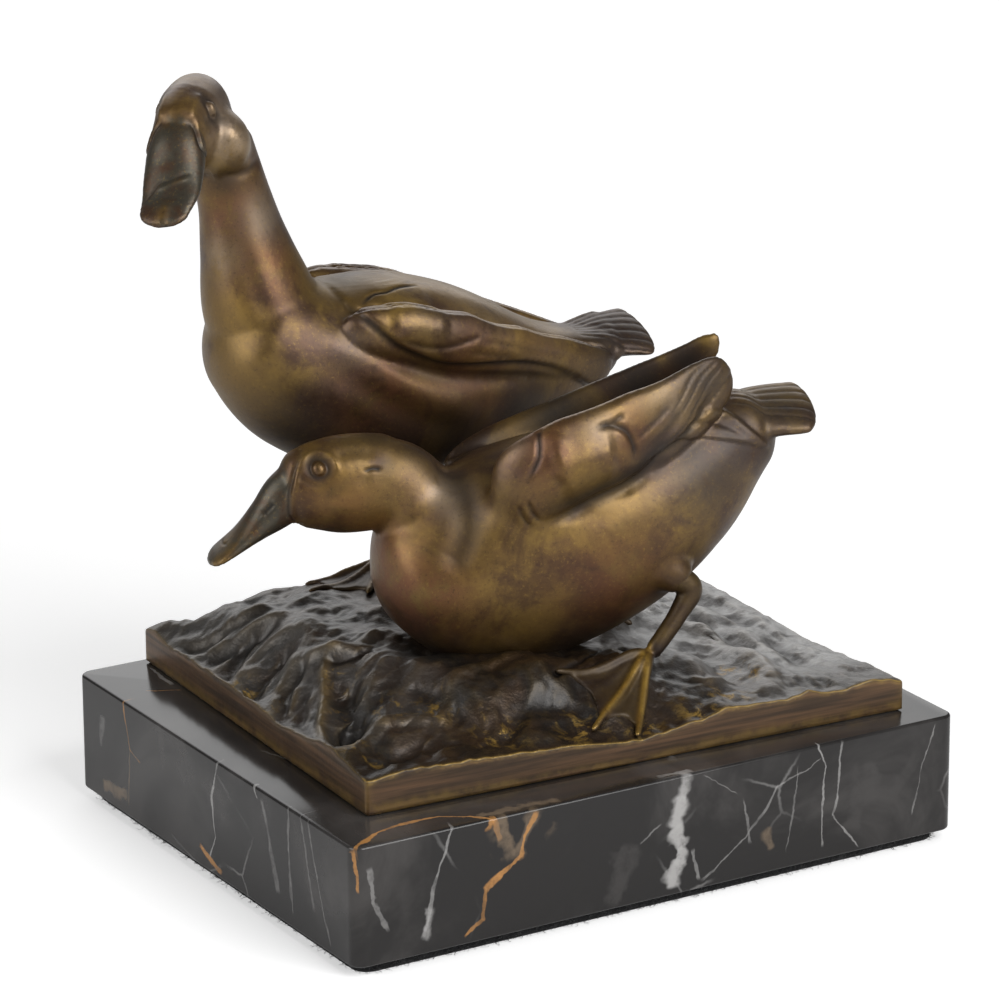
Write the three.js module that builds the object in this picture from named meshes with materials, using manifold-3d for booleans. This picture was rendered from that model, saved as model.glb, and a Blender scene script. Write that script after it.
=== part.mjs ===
// Bronze group of two ducks on a rough earth ground, bolted to a black marble plinth.
// Millimetres, +Z up. The origin is the centre of the felt's underside.
// The plinth's long side runs along X. The ducks look toward -X, with their left sides on -Y.

import * as THREE from "three";
import { mergeVertices } from "three/addons/utils/BufferGeometryUtils.js";
import Module from "manifold-3d";

const wasm = await Module();
wasm.setup();

// Clearances
const castGap = 0.3;        // between two castings, or a casting and what seats in it
const threadGap = 0.3;      // round a thread in its hole

// Felt pad
const feltThickness = 2.5;
const feltInset = 2.5;
const feltCornerRadius = 4;

// Marble plinth
const plinthLength = 152;
const plinthWidth = 126;
const plinthHeight = 27;
const plinthCornerRadius = 3;
const plinthEdgeRound = 0.7;
const plinthTop = feltThickness + plinthHeight;

// Ground casting: a shell, open below, with a flat rim standing on the marble
const groundLength = 132.5;
const groundWidth = 110;
const groundX = 3.8;
const groundY = 3;
const groundTurn = -2.65;   // degrees about Z
const groundRimHeight = 7;
const groundWall = 3.6;
const groundStep = 4.6;     // spacing of the terrain's points
const moundHeight = 10.8;
const moundReachLeft = 20;  // how far in from each side the mound reaches its full height
const moundCornerSteepness = 11; // how much shorter the left slope is toward the back
const moundReachRight = 88;
const moundReachFront = 24;
const moundReachCorner = 38; // how much longer the front slope is toward the front left corner
const moundReachBack = 13;
const rightDrop = 2.6;      // how much lower the earth lies toward the back right
const rightDropReach = 45;
const seatDepth = 6;        // metal kept above the hollow for the front duck's seat
const hollowStep = 11;

// Where each duck stands: the point under its middle, and its heading
const frontDuckX = -16;
const frontDuckY = -5;
const frontDuckHeading = 18;   // degrees from -X toward +Y
const rearDuckX = 0;
const rearDuckY = 38;
const rearDuckHeading = 8;
const standHeight = 47.3;      // of the mound's top in the ducks' own frames
const duckLift = plinthTop + groundRimHeight + moundHeight - standHeight;

// Duck castings
const duckWall = 3.2;
const coreHoleRadius = 5;
const footPinRadius = 1.5;
const footPinLength = 5;

// Fixings
const studRadius = 2.5;
const studBossRadius = 5.5;
const studReach = 7;                 // length of stud above the marble
const studPlaces = [[-34, 16], [24, 13]];
const boreRadius = 3.4;
const counterboreRadius = 7.5;
const counterboreDepth = 8;
const washerRadius = 6;
const washerThickness = 1;
const nutAcrossFlats = 8;
const nutThickness = 4;
const screwRadius = 1.5;
const screwHeadRadius = 2.8;
const screwHeadHeight = 2.4;
const screwBossRadius = 3.8;
const screwTop = 51;                 // in the duck's own frame
const screwBossCap = 3;              // solid metal above the screw's end
const spotFaceMargin = 0.8;          // flat round a screw head or nut, cut up into the rough roof
const spotFaceDepth = 0.6;
const frontScrewPlaces = [5, -22];   // along the duck's middle line
const frontCoreHolePlace = -9;
const rearCoreHolePlace = 12;
const footNutAcrossFlats = 5.5;
const footNutThickness = 2.4;
const threadTail = 1;                // thread showing past a nut

const degrees = Math.PI / 180;

// A closed geometry as a solid that can be joined and cut
function solid(geometry) {
  const bare = geometry.clone();
  bare.deleteAttribute("normal");
  bare.deleteAttribute("uv");
  const merged = mergeVertices(bare, 1e-4);
  return new wasm.Manifold(new wasm.Mesh({
    numProp: 3,
    vertProperties: new Float32Array(merged.attributes.position.array),
    triVerts: new Uint32Array(merged.index.array),
  }));
}

// The same solid as a geometry for a mesh
function geometryOf(shape) {
  const mesh = shape.getMesh();
  const geometry = new THREE.BufferGeometry();
  geometry.setAttribute("position", new THREE.BufferAttribute(new Float32Array(mesh.vertProperties), 3));
  geometry.setIndex(new THREE.BufferAttribute(new Uint32Array(mesh.triVerts), 1));
  return geometry;
}

function joined(shapes) {
  return shapes.reduce((sum, shape) => sum.add(shape));
}

// An upright round bar between two heights
function bar(x, y, low, high, radius, sides = 20) {
  const geometry = new THREE.CylinderGeometry(radius, radius, high - low, sides);
  geometry.rotateX(Math.PI / 2);
  geometry.translate(x, y, (low + high) / 2);
  return solid(geometry);
}

// A hexagon nut with its bore, between two heights
function hexNut(x, y, low, high, acrossFlats, bore) {
  const outside = bar(x, y, low, high, acrossFlats / 2 / Math.cos(Math.PI / 6), 6);
  return outside.subtract(bar(x, y, low - 1, high + 1, bore));
}

// A flat slab with rounded upright corners and, if asked for, rounded long edges
function slab(length, width, low, high, cornerRadius, edgeRound = 0) {
  const outline = roundedRectangle(length - 2 * edgeRound, width - 2 * edgeRound, cornerRadius - edgeRound);
  const geometry = new THREE.ExtrudeGeometry(outline, {
    depth: high - low - 2 * edgeRound,
    bevelEnabled: edgeRound > 0,
    bevelThickness: edgeRound,
    bevelSize: edgeRound,
    bevelSegments: 2,
    curveSegments: 5,
  });
  geometry.translate(0, 0, low + edgeRound);
  return solid(geometry);
}

function roundedRectangle(length, width, radius) {
  const x = length / 2 - radius;
  const y = width / 2 - radius;
  const shape = new THREE.Shape();
  shape.absarc(x, y, radius, 0, Math.PI / 2);
  shape.absarc(-x, y, radius, Math.PI / 2, Math.PI);
  shape.absarc(-x, -y, radius, Math.PI, 1.5 * Math.PI);
  shape.absarc(x, -y, radius, 1.5 * Math.PI, 2 * Math.PI);
  return shape;
}

// Smooth step from 0 to 1
function ease(value) {
  const t = Math.min(Math.max(value, 0), 1);
  return t * t * (3 - 2 * t);
}

// Organic forms: a row of stations, each with its middle (at), half width (side) and
// half heights (up, down). The skin runs smoothly through them and closes in a round nose.
// grow swells the form all over by that much, and a negative value shrinks it.
function loft(stations, form) {
  const { rings, sides, noseStart, noseEnd, noseRings = 3, upward = [0, 0, 1], grow = 0 } = form;
  const middles = new THREE.CatmullRomCurve3(
    stations.map((station) => new THREE.Vector3(...station.at)), false, "catmullrom");
  const sizes = new THREE.CatmullRomCurve3(
    stations.map((station) => new THREE.Vector3(station.side, station.up, station.down ?? station.up)),
    false, "catmullrom");
  middles.arcLengthDivisions = 300;
  const length = middles.getLength();
  const steps = [];
  for (let i = 1; i <= noseRings; i++) {
    const angle = (Math.PI / 2) * (i / noseRings);
    steps.push({ distance: noseStart * (1 - Math.cos(angle)), scale: Math.sin(angle) });
  }
  for (let i = 1; i < rings; i++) {
    steps.push({ distance: noseStart + (length - noseStart - noseEnd) * (i / rings), scale: 1 });
  }
  for (let i = noseRings; i >= 1; i--) {
    const angle = (Math.PI / 2) * (i / noseRings);
    steps.push({ distance: length - noseEnd * (1 - Math.cos(angle)), scale: Math.sin(angle) });
  }

  const positions = [];
  const overhang = Math.max(grow, 0);
  const first = middles.getPoint(0).addScaledVector(middles.getTangent(0), -overhang);
  const last = middles.getPoint(1).addScaledVector(middles.getTangent(1), overhang);
  positions.push(first.x, first.y, first.z);
  for (const step of steps) {
    const share = middles.getUtoTmapping(step.distance / length);
    const middle = middles.getPoint(share);
    const along = middles.getTangent(share);
    const size = sizes.getPoint(share);
    const up = new THREE.Vector3(...upward);
    up.addScaledVector(along, -up.dot(along)).normalize();
    const across = new THREE.Vector3().crossVectors(along, up);
    for (let j = 0; j < sides; j++) {
      const angle = 2 * Math.PI * (j / sides);
      const height = Math.sin(angle) > 0 ? size.y : size.z;
      const point = middle.clone();
      point.addScaledVector(across, (size.x * step.scale + grow) * Math.cos(angle));
      point.addScaledVector(up, (height * step.scale + grow) * Math.sin(angle));
      positions.push(point.x, point.y, point.z);
    }
  }
  positions.push(last.x, last.y, last.z);

  const indices = [];
  const end = positions.length / 3 - 1;
  for (let j = 0; j < sides; j++) {
    const next = (j + 1) % sides;
    indices.push(0, 1 + j, 1 + next);
    for (let i = 0; i < steps.length - 1; i++) {
      const here = 1 + i * sides;
      const there = here + sides;
      indices.push(here + j, there + j, here + next, here + next, there + j, there + next);
    }
    indices.push(end, end - sides + next, end - sides + j);
  }
  const geometry = new THREE.BufferGeometry();
  geometry.setAttribute("position", new THREE.BufferAttribute(new Float32Array(positions), 3));
  geometry.setIndex(indices);
  return solid(geometry);
}

// Ground casting

// Lumps and furrows of the earth, as a few crossing waves
function earthRelief(x, y) {
  const furrows = 0.5 * Math.sin(0.33 * x + 0.21 * y + 1.4 * Math.sin(0.11 * y));
  const lumps = 0.8 * Math.sin(0.19 * x - 0.27 * y + 1.1) * Math.sin(0.14 * x + 0.1 * y + 0.6);
  return furrows + lumps;
}

// How far the mound has risen, 0 at the rim and 1 on its top
function moundShare(x, y) {
  const steeper = moundCornerSteepness * ease((y - 22) / 26);
  const left = ease((x + groundLength / 2) / (moundReachLeft - steeper));
  const right = ease((groundLength / 2 - x) / moundReachRight);
  const corner = ease((-x - 20) / 40);
  const front = ease((y + groundWidth / 2) / (moundReachFront + moundReachCorner * corner));
  const back = ease((groundWidth / 2 - y) / moundReachBack);
  return left * right * front * back;
}

// Heights above the marble in the ground casting's own frame: the earth, and the hollow under it
function earthHeight(x, y) {
  return rimHeight(x, y) + moundHeight * moundShare(x, y) + earthRelief(x, y);
}

function hollowHeight(x, y) {
  return rimHeight(x, y) - groundWall + (moundHeight - seatDepth) * moundShare(x, y);
}

function rimHeight(x, y) {
  const rightShare = ease(x / rightDropReach);
  const backShare = ease((y + groundWidth / 2) / rightDropReach);
  return groundRimHeight - rightDrop * rightShare * backShare;
}

// The same heights at a point of the whole object's frame, above the felt's underside
function heightAt(height, x, y) {
  const turn = -groundTurn * degrees;
  const dx = x - groundX;
  const dy = y - groundY;
  return plinthTop + height(
    dx * Math.cos(turn) - dy * Math.sin(turn), dx * Math.sin(turn) + dy * Math.cos(turn));
}

// A block with a flat underside and a top that follows height(x, y), above the marble
function terrainBlock(length, width, step, low, height) {
  const columns = Math.max(2, Math.round(length / step));
  const rows = Math.max(2, Math.round(width / step));
  const positions = [];
  const indices = [];
  const number = (i, j) => i * (rows + 1) + j;
  for (let i = 0; i <= columns; i++) {
    for (let j = 0; j <= rows; j++) {
      const x = length * (i / columns - 0.5);
      const y = width * (j / rows - 0.5);
      positions.push(x, y, height(x, y));
    }
  }
  for (let i = 0; i < columns; i++) {
    for (let j = 0; j < rows; j++) {
      indices.push(number(i, j), number(i + 1, j), number(i + 1, j + 1));
      indices.push(number(i, j), number(i + 1, j + 1), number(i, j + 1));
    }
  }
  const rim = [];
  for (let i = 0; i < columns; i++) rim.push(number(i, 0));
  for (let j = 0; j < rows; j++) rim.push(number(columns, j));
  for (let i = columns; i > 0; i--) rim.push(number(i, rows));
  for (let j = rows; j > 0; j--) rim.push(number(0, j));
  const foot = positions.length / 3;
  for (const top of rim) positions.push(positions[3 * top], positions[3 * top + 1], low);
  const centre = positions.length / 3;
  positions.push(0, 0, low);
  for (let k = 0; k < rim.length; k++) {
    const next = (k + 1) % rim.length;
    indices.push(rim[k], foot + k, foot + next, rim[k], foot + next, rim[next]);
    indices.push(centre, foot + next, foot + k);
  }
  const geometry = new THREE.BufferGeometry();
  geometry.setAttribute("position", new THREE.BufferAttribute(new Float32Array(positions), 3));
  geometry.setIndex(indices);
  geometry.rotateZ(groundTurn * degrees);
  geometry.translate(groundX, groundY, plinthTop);
  return solid(geometry);
}

// Ducks. Each duck's own frame has +X forward, +Y to its left and +Z up, with the top of the
// earth at standHeight.

function duckMatrix(x, y, heading) {
  const matrix = new THREE.Matrix4().makeRotationZ((180 - heading) * degrees);
  return matrix.setPosition(x, y, duckLift);
}

const frontDuckPlace = duckMatrix(frontDuckX, frontDuckY, frontDuckHeading);
const rearDuckPlace = duckMatrix(rearDuckX, rearDuckY, rearDuckHeading);

function placed(shape, matrix) {
  return shape.transform(Array.from(matrix.elements));
}

function placedPoint(point, matrix) {
  return new THREE.Vector3(...point).applyMatrix4(matrix);
}

// The mirror image across a duck's middle plane
function mirrored(stations) {
  return stations.map((station) => ({ ...station, at: [station.at[0], -station.at[1], station.at[2]] }));
}

// A duck's head, with its middle at the origin, looking along +X with its bill sloping down
const headStations = [
  { at: [-13.5, 0, 0.2], side: 6.4, up: 8.4, down: 9 },
  { at: [-6, 0, 0.2], side: 8.3, up: 10.4, down: 10.6 },
  { at: [3, 0, 0], side: 8.3, up: 11, down: 10.8 },
  { at: [10, 0, -0.5], side: 6.9, up: 9.9, down: 9.2 },
  { at: [17, 0, -1.8], side: 5, up: 7.6, down: 6.6 },
];
const headForm = { rings: 6, sides: 14, noseStart: 7, noseEnd: 5 };
const frontBill = [
  { at: [10, 0, 0.2], side: 5.2, up: 7.4, down: 7 },
  { at: [15, 0, -2.4], side: 4.8, up: 6.3, down: 5.8 },
  { at: [19.5, 0, -6], side: 4.4, up: 4.4, down: 4.1 },
  { at: [24.5, 0, -10], side: 5, up: 2.6, down: 2.6 },
  { at: [29, 0, -13.2], side: 5.6, up: 1.7, down: 1.7 },
  { at: [32.6, 0, -15.6], side: 5.2, up: 1.2, down: 1.2 },
];
const rearBill = [
  { at: [10, 0, 0.2], side: 5.4, up: 7.4, down: 7 },
  { at: [15.3, 0, -2.5], side: 6, up: 6.3, down: 5.8 },
  { at: [20.1, 0, -6.4], side: 6, up: 4.4, down: 4.1 },
  { at: [25.4, 0, -10.6], side: 6, up: 2.6, down: 2.6 },
  { at: [30.1, -0.7, -14], side: 5.3, up: 1.7, down: 1.7 },
  { at: [34, -1.1, -16.5], side: 4.3, up: 1.2, down: 1.2 },
];
const billForm = { rings: 7, sides: 10, noseStart: 3, noseEnd: 3.4, noseRings: 2 };
const rearCheek = [
  { at: [-9, 3.2, -5.6], side: 6.9, up: 7.3 },
  { at: [0, 3.2, -5.6], side: 6.9, up: 7.3 },
  { at: [9, 3.2, -5.6], side: 6.9, up: 7.3 },
];
const cheekForm = { rings: 1, sides: 12, noseStart: 8.6, noseEnd: 8.6 };
const eyePlace = [9.2, 5.9, 5.6];
const eyeRadius = 1.4;

function headShape(bill, cheeks) {
  const eyes = [1, -1].map((hand) => {
    const ball = new THREE.IcosahedronGeometry(eyeRadius, 1);
    ball.translate(eyePlace[0], hand * eyePlace[1], eyePlace[2]);
    return solid(ball);
  });
  const full = cheeks.map((cheek) => loft(cheek, cheekForm));
  return joined([loft(headStations, headForm), loft(bill, billForm), ...eyes, ...full]);
}

// The head set on its neck, looking aside (yaw), down (pitch) and tilted (roll), in degrees
function turnedHead({ middle, yaw, pitch, roll, size, breadth, bill, cheeks }) {
  const matrix = new THREE.Matrix4().makeRotationZ(yaw * degrees);
  matrix.multiply(new THREE.Matrix4().makeRotationY(pitch * degrees));
  matrix.multiply(new THREE.Matrix4().makeRotationX(roll * degrees));
  matrix.scale(new THREE.Vector3(size, breadth, size));
  matrix.setPosition(...middle);
  return placed(headShape(bill, cheeks), matrix);
}

// Front duck: crouching on its breast, head held low
const frontBody = [
  { at: [18.5, 0, 58], side: 12, up: 12, down: 12 },
  { at: [9, 0, 61.5], side: 17, up: 18, down: 19 },
  { at: [-4, 0, 65.5], side: 20, up: 22, down: 25.5 },
  { at: [-19, 0, 69.5], side: 21, up: 22.5, down: 26 },
  { at: [-34, 0, 74.5], side: 20, up: 20, down: 23.5 },
  { at: [-48, 0, 81.5], side: 16.5, up: 16, down: 19 },
  { at: [-60, 0, 88.5], side: 12, up: 11.5, down: 12.5 },
  { at: [-70, 0, 93], side: 8, up: 6.5, down: 6 },
];
const frontBodyForm = { rings: 13, sides: 22, noseStart: 9, noseEnd: 5 };
const frontNeck = [
  { at: [8, 0, 58], side: 13, up: 12, down: 13 },
  { at: [8.5, 0, 68], side: 11, up: 11, down: 11 },
  { at: [9.5, 0, 76], side: 9.4, up: 9.6, down: 10.5 },
  { at: [14, 0, 82.5], side: 8.4, up: 9.4, down: 10.6 },
  { at: [21, 0, 84.4], side: 8, up: 9.5, down: 10 },
];
const frontNeckForm = { rings: 7, sides: 14, noseStart: 5, noseEnd: 5, upward: [0.72, 0, -0.7] };
const frontHead = {
  middle: [23, 0, 84.4], yaw: 0, pitch: 0, roll: 0, size: 1, breadth: 1, bill: frontBill, cheeks: [],
};

const frontNearWing = [
  { at: [2, 14.6, 82], side: 3.4, up: 9, down: 11 },
  { at: [-12, 17.6, 87], side: 4.6, up: 11, down: 10 },
  { at: [-27, 17.4, 92.5], side: 4.4, up: 11, down: 10 },
  { at: [-41, 14, 97.5], side: 3.4, up: 9.5, down: 9 },
  { at: [-52, 10, 103], side: 2.2, up: 7, down: 7.5 },
  { at: [-59, 7, 106], side: 1.4, up: 5, down: 5.5 },
];
const frontFarWing = [
  { at: [2, -13, 77], side: 3.2, up: 8, down: 10 },
  { at: [-12, -16, 81.5], side: 4, up: 8.5, down: 10 },
  { at: [-27, -15.5, 87.5], side: 3.4, up: 8, down: 10 },
  { at: [-42, -12.5, 95.5], side: 2.4, up: 6.6, down: 8 },
  { at: [-53, -9, 103.6], side: 1.6, up: 4, down: 5 },
  { at: [-60, -7, 110], side: 1.2, up: 1.8, down: 2.6 },
];
const frontWingForm = { rings: 8, sides: 10, noseStart: 7, noseEnd: 4, noseRings: 2 };
const frontTail = [
  { at: [-58, 0, 91.5], side: 8, up: 5, down: 4 },
  { at: [-68, 0.5, 94], side: 9, up: 3.2, down: 3.4 },
  { at: [-79.5, 1, 94.6], side: 10, up: 2, down: 2 },
];
const tailForm = { rings: 4, sides: 10, noseStart: 3, noseEnd: 4, upward: [0, 0.3, 0.95] };
const frontThigh = [
  { at: [-38, 13, 66], side: 6, up: 7 },
  { at: [-44, 15, 61.5], side: 4.6, up: 5 },
  { at: [-47.5, 14.6, 60], side: 3.4, up: 3.4 },
];
const thighForm = { rings: 3, sides: 10, noseStart: 3, noseEnd: 1.6, noseRings: 2, upward: [1, 0, 0] };

// Rear duck: standing, head turned to its left and looking down
const rearBody = [
  { at: [49, 0, 113], side: 12, up: 11, down: 9.8 },
  { at: [41, 0, 108], side: 16, up: 16, down: 14.8 },
  { at: [29, 0, 101], side: 19, up: 18.5, down: 20.5 },
  { at: [14, 0, 96.5], side: 20, up: 22, down: 23.5 },
  { at: [-1, 0, 93.5], side: 19.5, up: 21.4, down: 21 },
  { at: [-15, 0, 92], side: 17, up: 17.4, down: 17 },
  { at: [-28, 0, 92.5], side: 13, up: 10.8, down: 12 },
  { at: [-40, 0, 95], side: 8.5, up: 5.2, down: 7 },
  { at: [-47, 0, 96.5], side: 6.5, up: 4, down: 4 },
];
const rearBodyForm = { rings: 13, sides: 22, noseStart: 8, noseEnd: 4 };
const rearShoulder = 104;          // height of the neck's root
const rearNeckRise = 52;           // from its root to its top
const rearHeadLift = 2;            // the head's middle above the neck's top
const rearNeckTop = rearShoulder + rearNeckRise;
const rearNeck = [
  { at: [35, 0, rearShoulder], side: 15, up: 13, down: 13 },
  { at: [39.5, 0, rearShoulder + 0.23 * rearNeckRise], side: 12.6, up: 12.2, down: 13.4 },
  { at: [42.5, 0, rearShoulder + 0.46 * rearNeckRise], side: 9.4, up: 9.4, down: 11.2 },
  { at: [44.5, 0, rearShoulder + 0.65 * rearNeckRise], side: 7.8, up: 7.6, down: 9.2 },
  { at: [47, 0.6, rearShoulder + 0.83 * rearNeckRise], side: 7.1, up: 7, down: 8.8 },
  { at: [50, 1, rearNeckTop], side: 7.4, up: 6.2, down: 9.4 },
];
const rearNeckForm = { rings: 8, sides: 14, noseStart: 5, noseEnd: 4, upward: [1, 0, 0] };
const rearHead = {
  middle: [54.1, 1, rearNeckTop + rearHeadLift],
  yaw: 57.4, pitch: 2.5, roll: 3.2, size: 0.895, breadth: 1.07, bill: rearBill,
  cheeks: [rearCheek, mirrored(rearCheek)],
};

const rearWing = [
  { at: [25, 15.4, 112.5], side: 2.8, up: 4.5, down: 4.5 },
  { at: [14, 17.2, 109.8], side: 4, up: 6.5, down: 6.5 },
  { at: [1, 17.4, 106], side: 4.2, up: 7.2, down: 7 },
  { at: [-13, 15.6, 102], side: 3.6, up: 5.8, down: 6.5 },
  { at: [-27, 12, 98], side: 2.8, up: 4.4, down: 5.5 },
  { at: [-42, 8, 92.5], side: 1.6, up: 3.6, down: 3.6 },
];
const rearWingForm = { rings: 8, sides: 10, noseStart: 6, noseEnd: 5, noseRings: 2 };
const rearTail = [
  { at: [-36, 0, 95.5], side: 7, up: 3.6, down: 3.6 },
  { at: [-46, -0.4, 97.4], side: 8.5, up: 2.6, down: 2.6 },
  { at: [-55.5, -0.8, 97.2], side: 11, up: 1.6, down: 1.6 },
];
const rearThigh = [
  { at: [3, 8, 84], side: 6, up: 7 },
  { at: [3.5, 8, 76], side: 4.6, up: 5 },
  { at: [2.4, 7.6, 70.5], side: 3.3, up: 3.5 },
];

// The outer skin of each duck, without its legs
function frontDuckSkin() {
  return joined([
    loft(frontBody, frontBodyForm),
    loft(frontNeck, frontNeckForm),
    turnedHead(frontHead),
    loft(frontNearWing, frontWingForm),
    loft(frontFarWing, frontWingForm),
    loft(frontTail, tailForm),
    loft(frontThigh, thighForm),
    loft(mirrored(frontThigh), thighForm),
  ]);
}

function rearDuckSkin() {
  return joined([
    loft(rearBody, rearBodyForm),
    loft(rearNeck, rearNeckForm),
    turnedHead(rearHead),
    loft(rearWing, rearWingForm),
    loft(mirrored(rearWing), rearWingForm),
    loft(rearTail, tailForm),
    loft(rearThigh, thighForm),
    loft(mirrored(rearThigh), thighForm),
  ]);
}

// Legs. The stations run from the tenon in the thigh to the ankle, in the duck's frame.
// Each foot stands at a point of the same frame, its toes turned from straight ahead to the left.
const toeTurns = [-28, 0, 28];
const rearToeLengths = [20, 22, 20];
const legs = [
  {
    name: "front_duck_left_leg", place: frontDuckPlace, nut: false,
    stations: [
      { at: [-42.5, 14.8, 63.5], side: 2.1, up: 2.1 },
      { at: [-48.4, 14.2, 59.5], side: 2.5, up: 2.5 },
      { at: [-45.4, 15.6, 54.5], side: 1.8, up: 1.8 },
      { at: [-41, 17, 49], side: 1.7, up: 1.7 },
    ],
    foot: { at: [-38.3, 17.5], turns: [17, 49, 69], lengths: [24, 27.5, 23.5] },
  },
  {
    name: "front_duck_right_leg", place: frontDuckPlace, nut: false,
    stations: [
      { at: [-42.5, -14.8, 63.5], side: 2.1, up: 2.1 },
      { at: [-48.4, -14.2, 59.5], side: 2.5, up: 2.5 },
      { at: [-46, -16, 54.5], side: 1.8, up: 1.8 },
      { at: [-42, -18, 49], side: 1.7, up: 1.7 },
    ],
    foot: { at: [-39, -19.5], turns: [-48, -22, 4], lengths: [20, 22, 20] },
  },
  {
    name: "rear_duck_left_leg", place: rearDuckPlace, nut: true,
    stations: [
      { at: [3.4, 8, 76.5], side: 2.1, up: 2.1 },
      { at: [0.6, 7.8, 69], side: 2.5, up: 2.5 },
      { at: [-4.6, 7.8, 64.5], side: 2.3, up: 2.3 },
      { at: [-9.6, 8, 56.5], side: 1.7, up: 1.7 },
    ],
    foot: { at: [-13, 8], turns: toeTurns.map((turn) => turn + 14), lengths: rearToeLengths },
  },
  {
    name: "rear_duck_right_leg", place: rearDuckPlace, nut: true,
    stations: [
      { at: [3.4, -8, 76.5], side: 2.1, up: 2.1 },
      { at: [1.2, -7.6, 69], side: 2.5, up: 2.5 },
      { at: [1.4, -7.2, 64.5], side: 2.3, up: 2.3 },
      { at: [4.4, -6.4, 57], side: 1.7, up: 1.7 },
    ],
    foot: { at: [7, -5.5], turns: toeTurns.map((turn) => turn + 27), lengths: [20, 26.5, 19] },
  },
];
const legForm = { rings: 6, sides: 8, noseStart: 2, noseEnd: 2, noseRings: 2, upward: [1, 0, 0] };
const toeForm = { rings: 3, sides: 6, noseStart: 1.5, noseEnd: 1.5, noseRings: 1 };
const toeRadius = 1.25;
const toeTipRadius = 0.75;
const hindToeLength = 5;
const webTop = 0.7;        // above the earth
const webBottom = -0.6;
const webStart = 1;        // from the ankle
const webReach = 0.8;      // of the toes' length
const webBay = 0.18;       // how far its front edge draws back between two toes
const webSteps = 3;
const footHeadroom = 2;    // earth cleared away above a foot's web

function ankleOf(leg) {
  const point = placedPoint([...leg.foot.at, 0], leg.place);
  point.z = heightAt(earthHeight, point.x, point.y);
  return point;
}

// A point on the earth, a distance out from the ankle, turned from the duck's forward direction
function footPoint(leg, turn, distance) {
  const ahead = [leg.foot.at[0] + distance * Math.cos(turn * degrees),
    leg.foot.at[1] + distance * Math.sin(turn * degrees), 0];
  const point = placedPoint(ahead, leg.place);
  point.z = heightAt(earthHeight, point.x, point.y);
  return point;
}

function toe(leg, turn, length, grow) {
  const stations = [0, 1, 2, 3].map((k) => {
    const radius = toeRadius + (toeTipRadius - toeRadius) * (k / 3);
    const point = footPoint(leg, turn, length * (k / 3));
    return { at: [point.x, point.y, point.z + radius / 2], side: radius, up: radius };
  });
  return loft(stations, { ...toeForm, grow });
}

// The skin between the toes, one thin fan that lies on the earth
function web(leg, grow, headroom) {
  const { turns, lengths } = leg.foot;
  const positions = [];
  const indices = [];
  const columns = 2 * webSteps;
  const number = (i, j, side) => (i * (columns + 1) + j) * 2 + side;
  for (let i = 0; i <= webSteps; i++) {
    for (let j = 0; j <= columns; j++) {
      const half = j < webSteps ? 0 : 1;
      const share = j / webSteps - half;
      const turn = turns[half] + (turns[half + 1] - turns[half]) * share;
      const length = lengths[half] + (lengths[half + 1] - lengths[half]) * share;
      const reach = webReach * (1 - webBay * Math.sin(Math.PI * share));
      const point = footPoint(leg, turn, webStart + (length * reach + grow) * (i / webSteps));
      positions.push(point.x, point.y, point.z + webBottom - grow);
      positions.push(point.x, point.y, point.z + webTop + headroom);
    }
  }
  const quad = (a, b, c, d) => indices.push(a, b, c, a, c, d);
  for (let i = 0; i < webSteps; i++) {
    for (let j = 0; j < columns; j++) {
      quad(number(i, j, 1), number(i + 1, j, 1), number(i + 1, j + 1, 1), number(i, j + 1, 1));
      quad(number(i, j, 0), number(i, j + 1, 0), number(i + 1, j + 1, 0), number(i + 1, j, 0));
    }
    quad(number(i, 0, 0), number(i + 1, 0, 0), number(i + 1, 0, 1), number(i, 0, 1));
    quad(number(i + 1, columns, 0), number(i, columns, 0),
      number(i, columns, 1), number(i + 1, columns, 1));
  }
  for (let j = 0; j < columns; j++) {
    quad(number(0, j + 1, 0), number(0, j, 0), number(0, j, 1), number(0, j + 1, 1));
    quad(number(webSteps, j, 0), number(webSteps, j + 1, 0),
      number(webSteps, j + 1, 1), number(webSteps, j, 1));
  }
  const geometry = new THREE.BufferGeometry();
  geometry.setAttribute("position", new THREE.BufferAttribute(new Float32Array(positions), 3));
  geometry.setIndex(indices);
  return solid(geometry);
}

// The flat that a foot's nut or a screw's head bears on, under the earth
function seatUnder(x, y) {
  return heightAt(hollowHeight, x, y) + spotFaceDepth;
}

function footShape(leg, grow, headroom) {
  const { turns, lengths } = leg.foot;
  const ankle = ankleOf(leg);
  const nutDepth = footNutThickness + threadTail;
  const pinEnd = leg.nut ? seatUnder(ankle.x, ankle.y) - nutDepth : ankle.z - footPinLength;
  const pieces = turns.map((turn, i) => toe(leg, turn, lengths[i], grow));
  pieces.push(toe(leg, turns[1] + 180, hindToeLength, grow));
  pieces.push(web(leg, grow, headroom));
  pieces.push(bar(ankle.x, ankle.y, pinEnd - grow, ankle.z, footPinRadius + grow, 12));
  return joined(pieces);
}

function shankShape(leg, grow) {
  const ankle = ankleOf(leg);
  const stations = leg.stations.map((station) => {
    const point = placedPoint(station.at, leg.place);
    return { ...station, at: [point.x, point.y, point.z] };
  });
  stations.push({ at: [ankle.x, ankle.y, ankle.z + 0.6], side: 2, up: 1.8 });
  return loft(stations, { ...legForm, grow });
}

function legShape(leg) {
  return shankShape(leg, 0).add(footShape(leg, 0, 0));
}

// Duck castings: hollow, with a core hole in the belly and sockets for the legs
const coreForm = { rings: 7, sides: 12, noseStart: 9, noseEnd: 7, grow: -duckWall };
const farBelow = 20;

function ventAndSockets(skin, core, coreHolePlace, place, prefix) {
  const coreHole = bar(coreHolePlace, 0, farBelow, coreTopOf(core), coreHoleRadius, 18);
  let shape = placed(skin.subtract(core).subtract(coreHole), place);
  for (const leg of legs.filter((each) => each.name.startsWith(prefix))) {
    shape = shape.subtract(shankShape(leg, castGap));
  }
  return shape;
}

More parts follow.
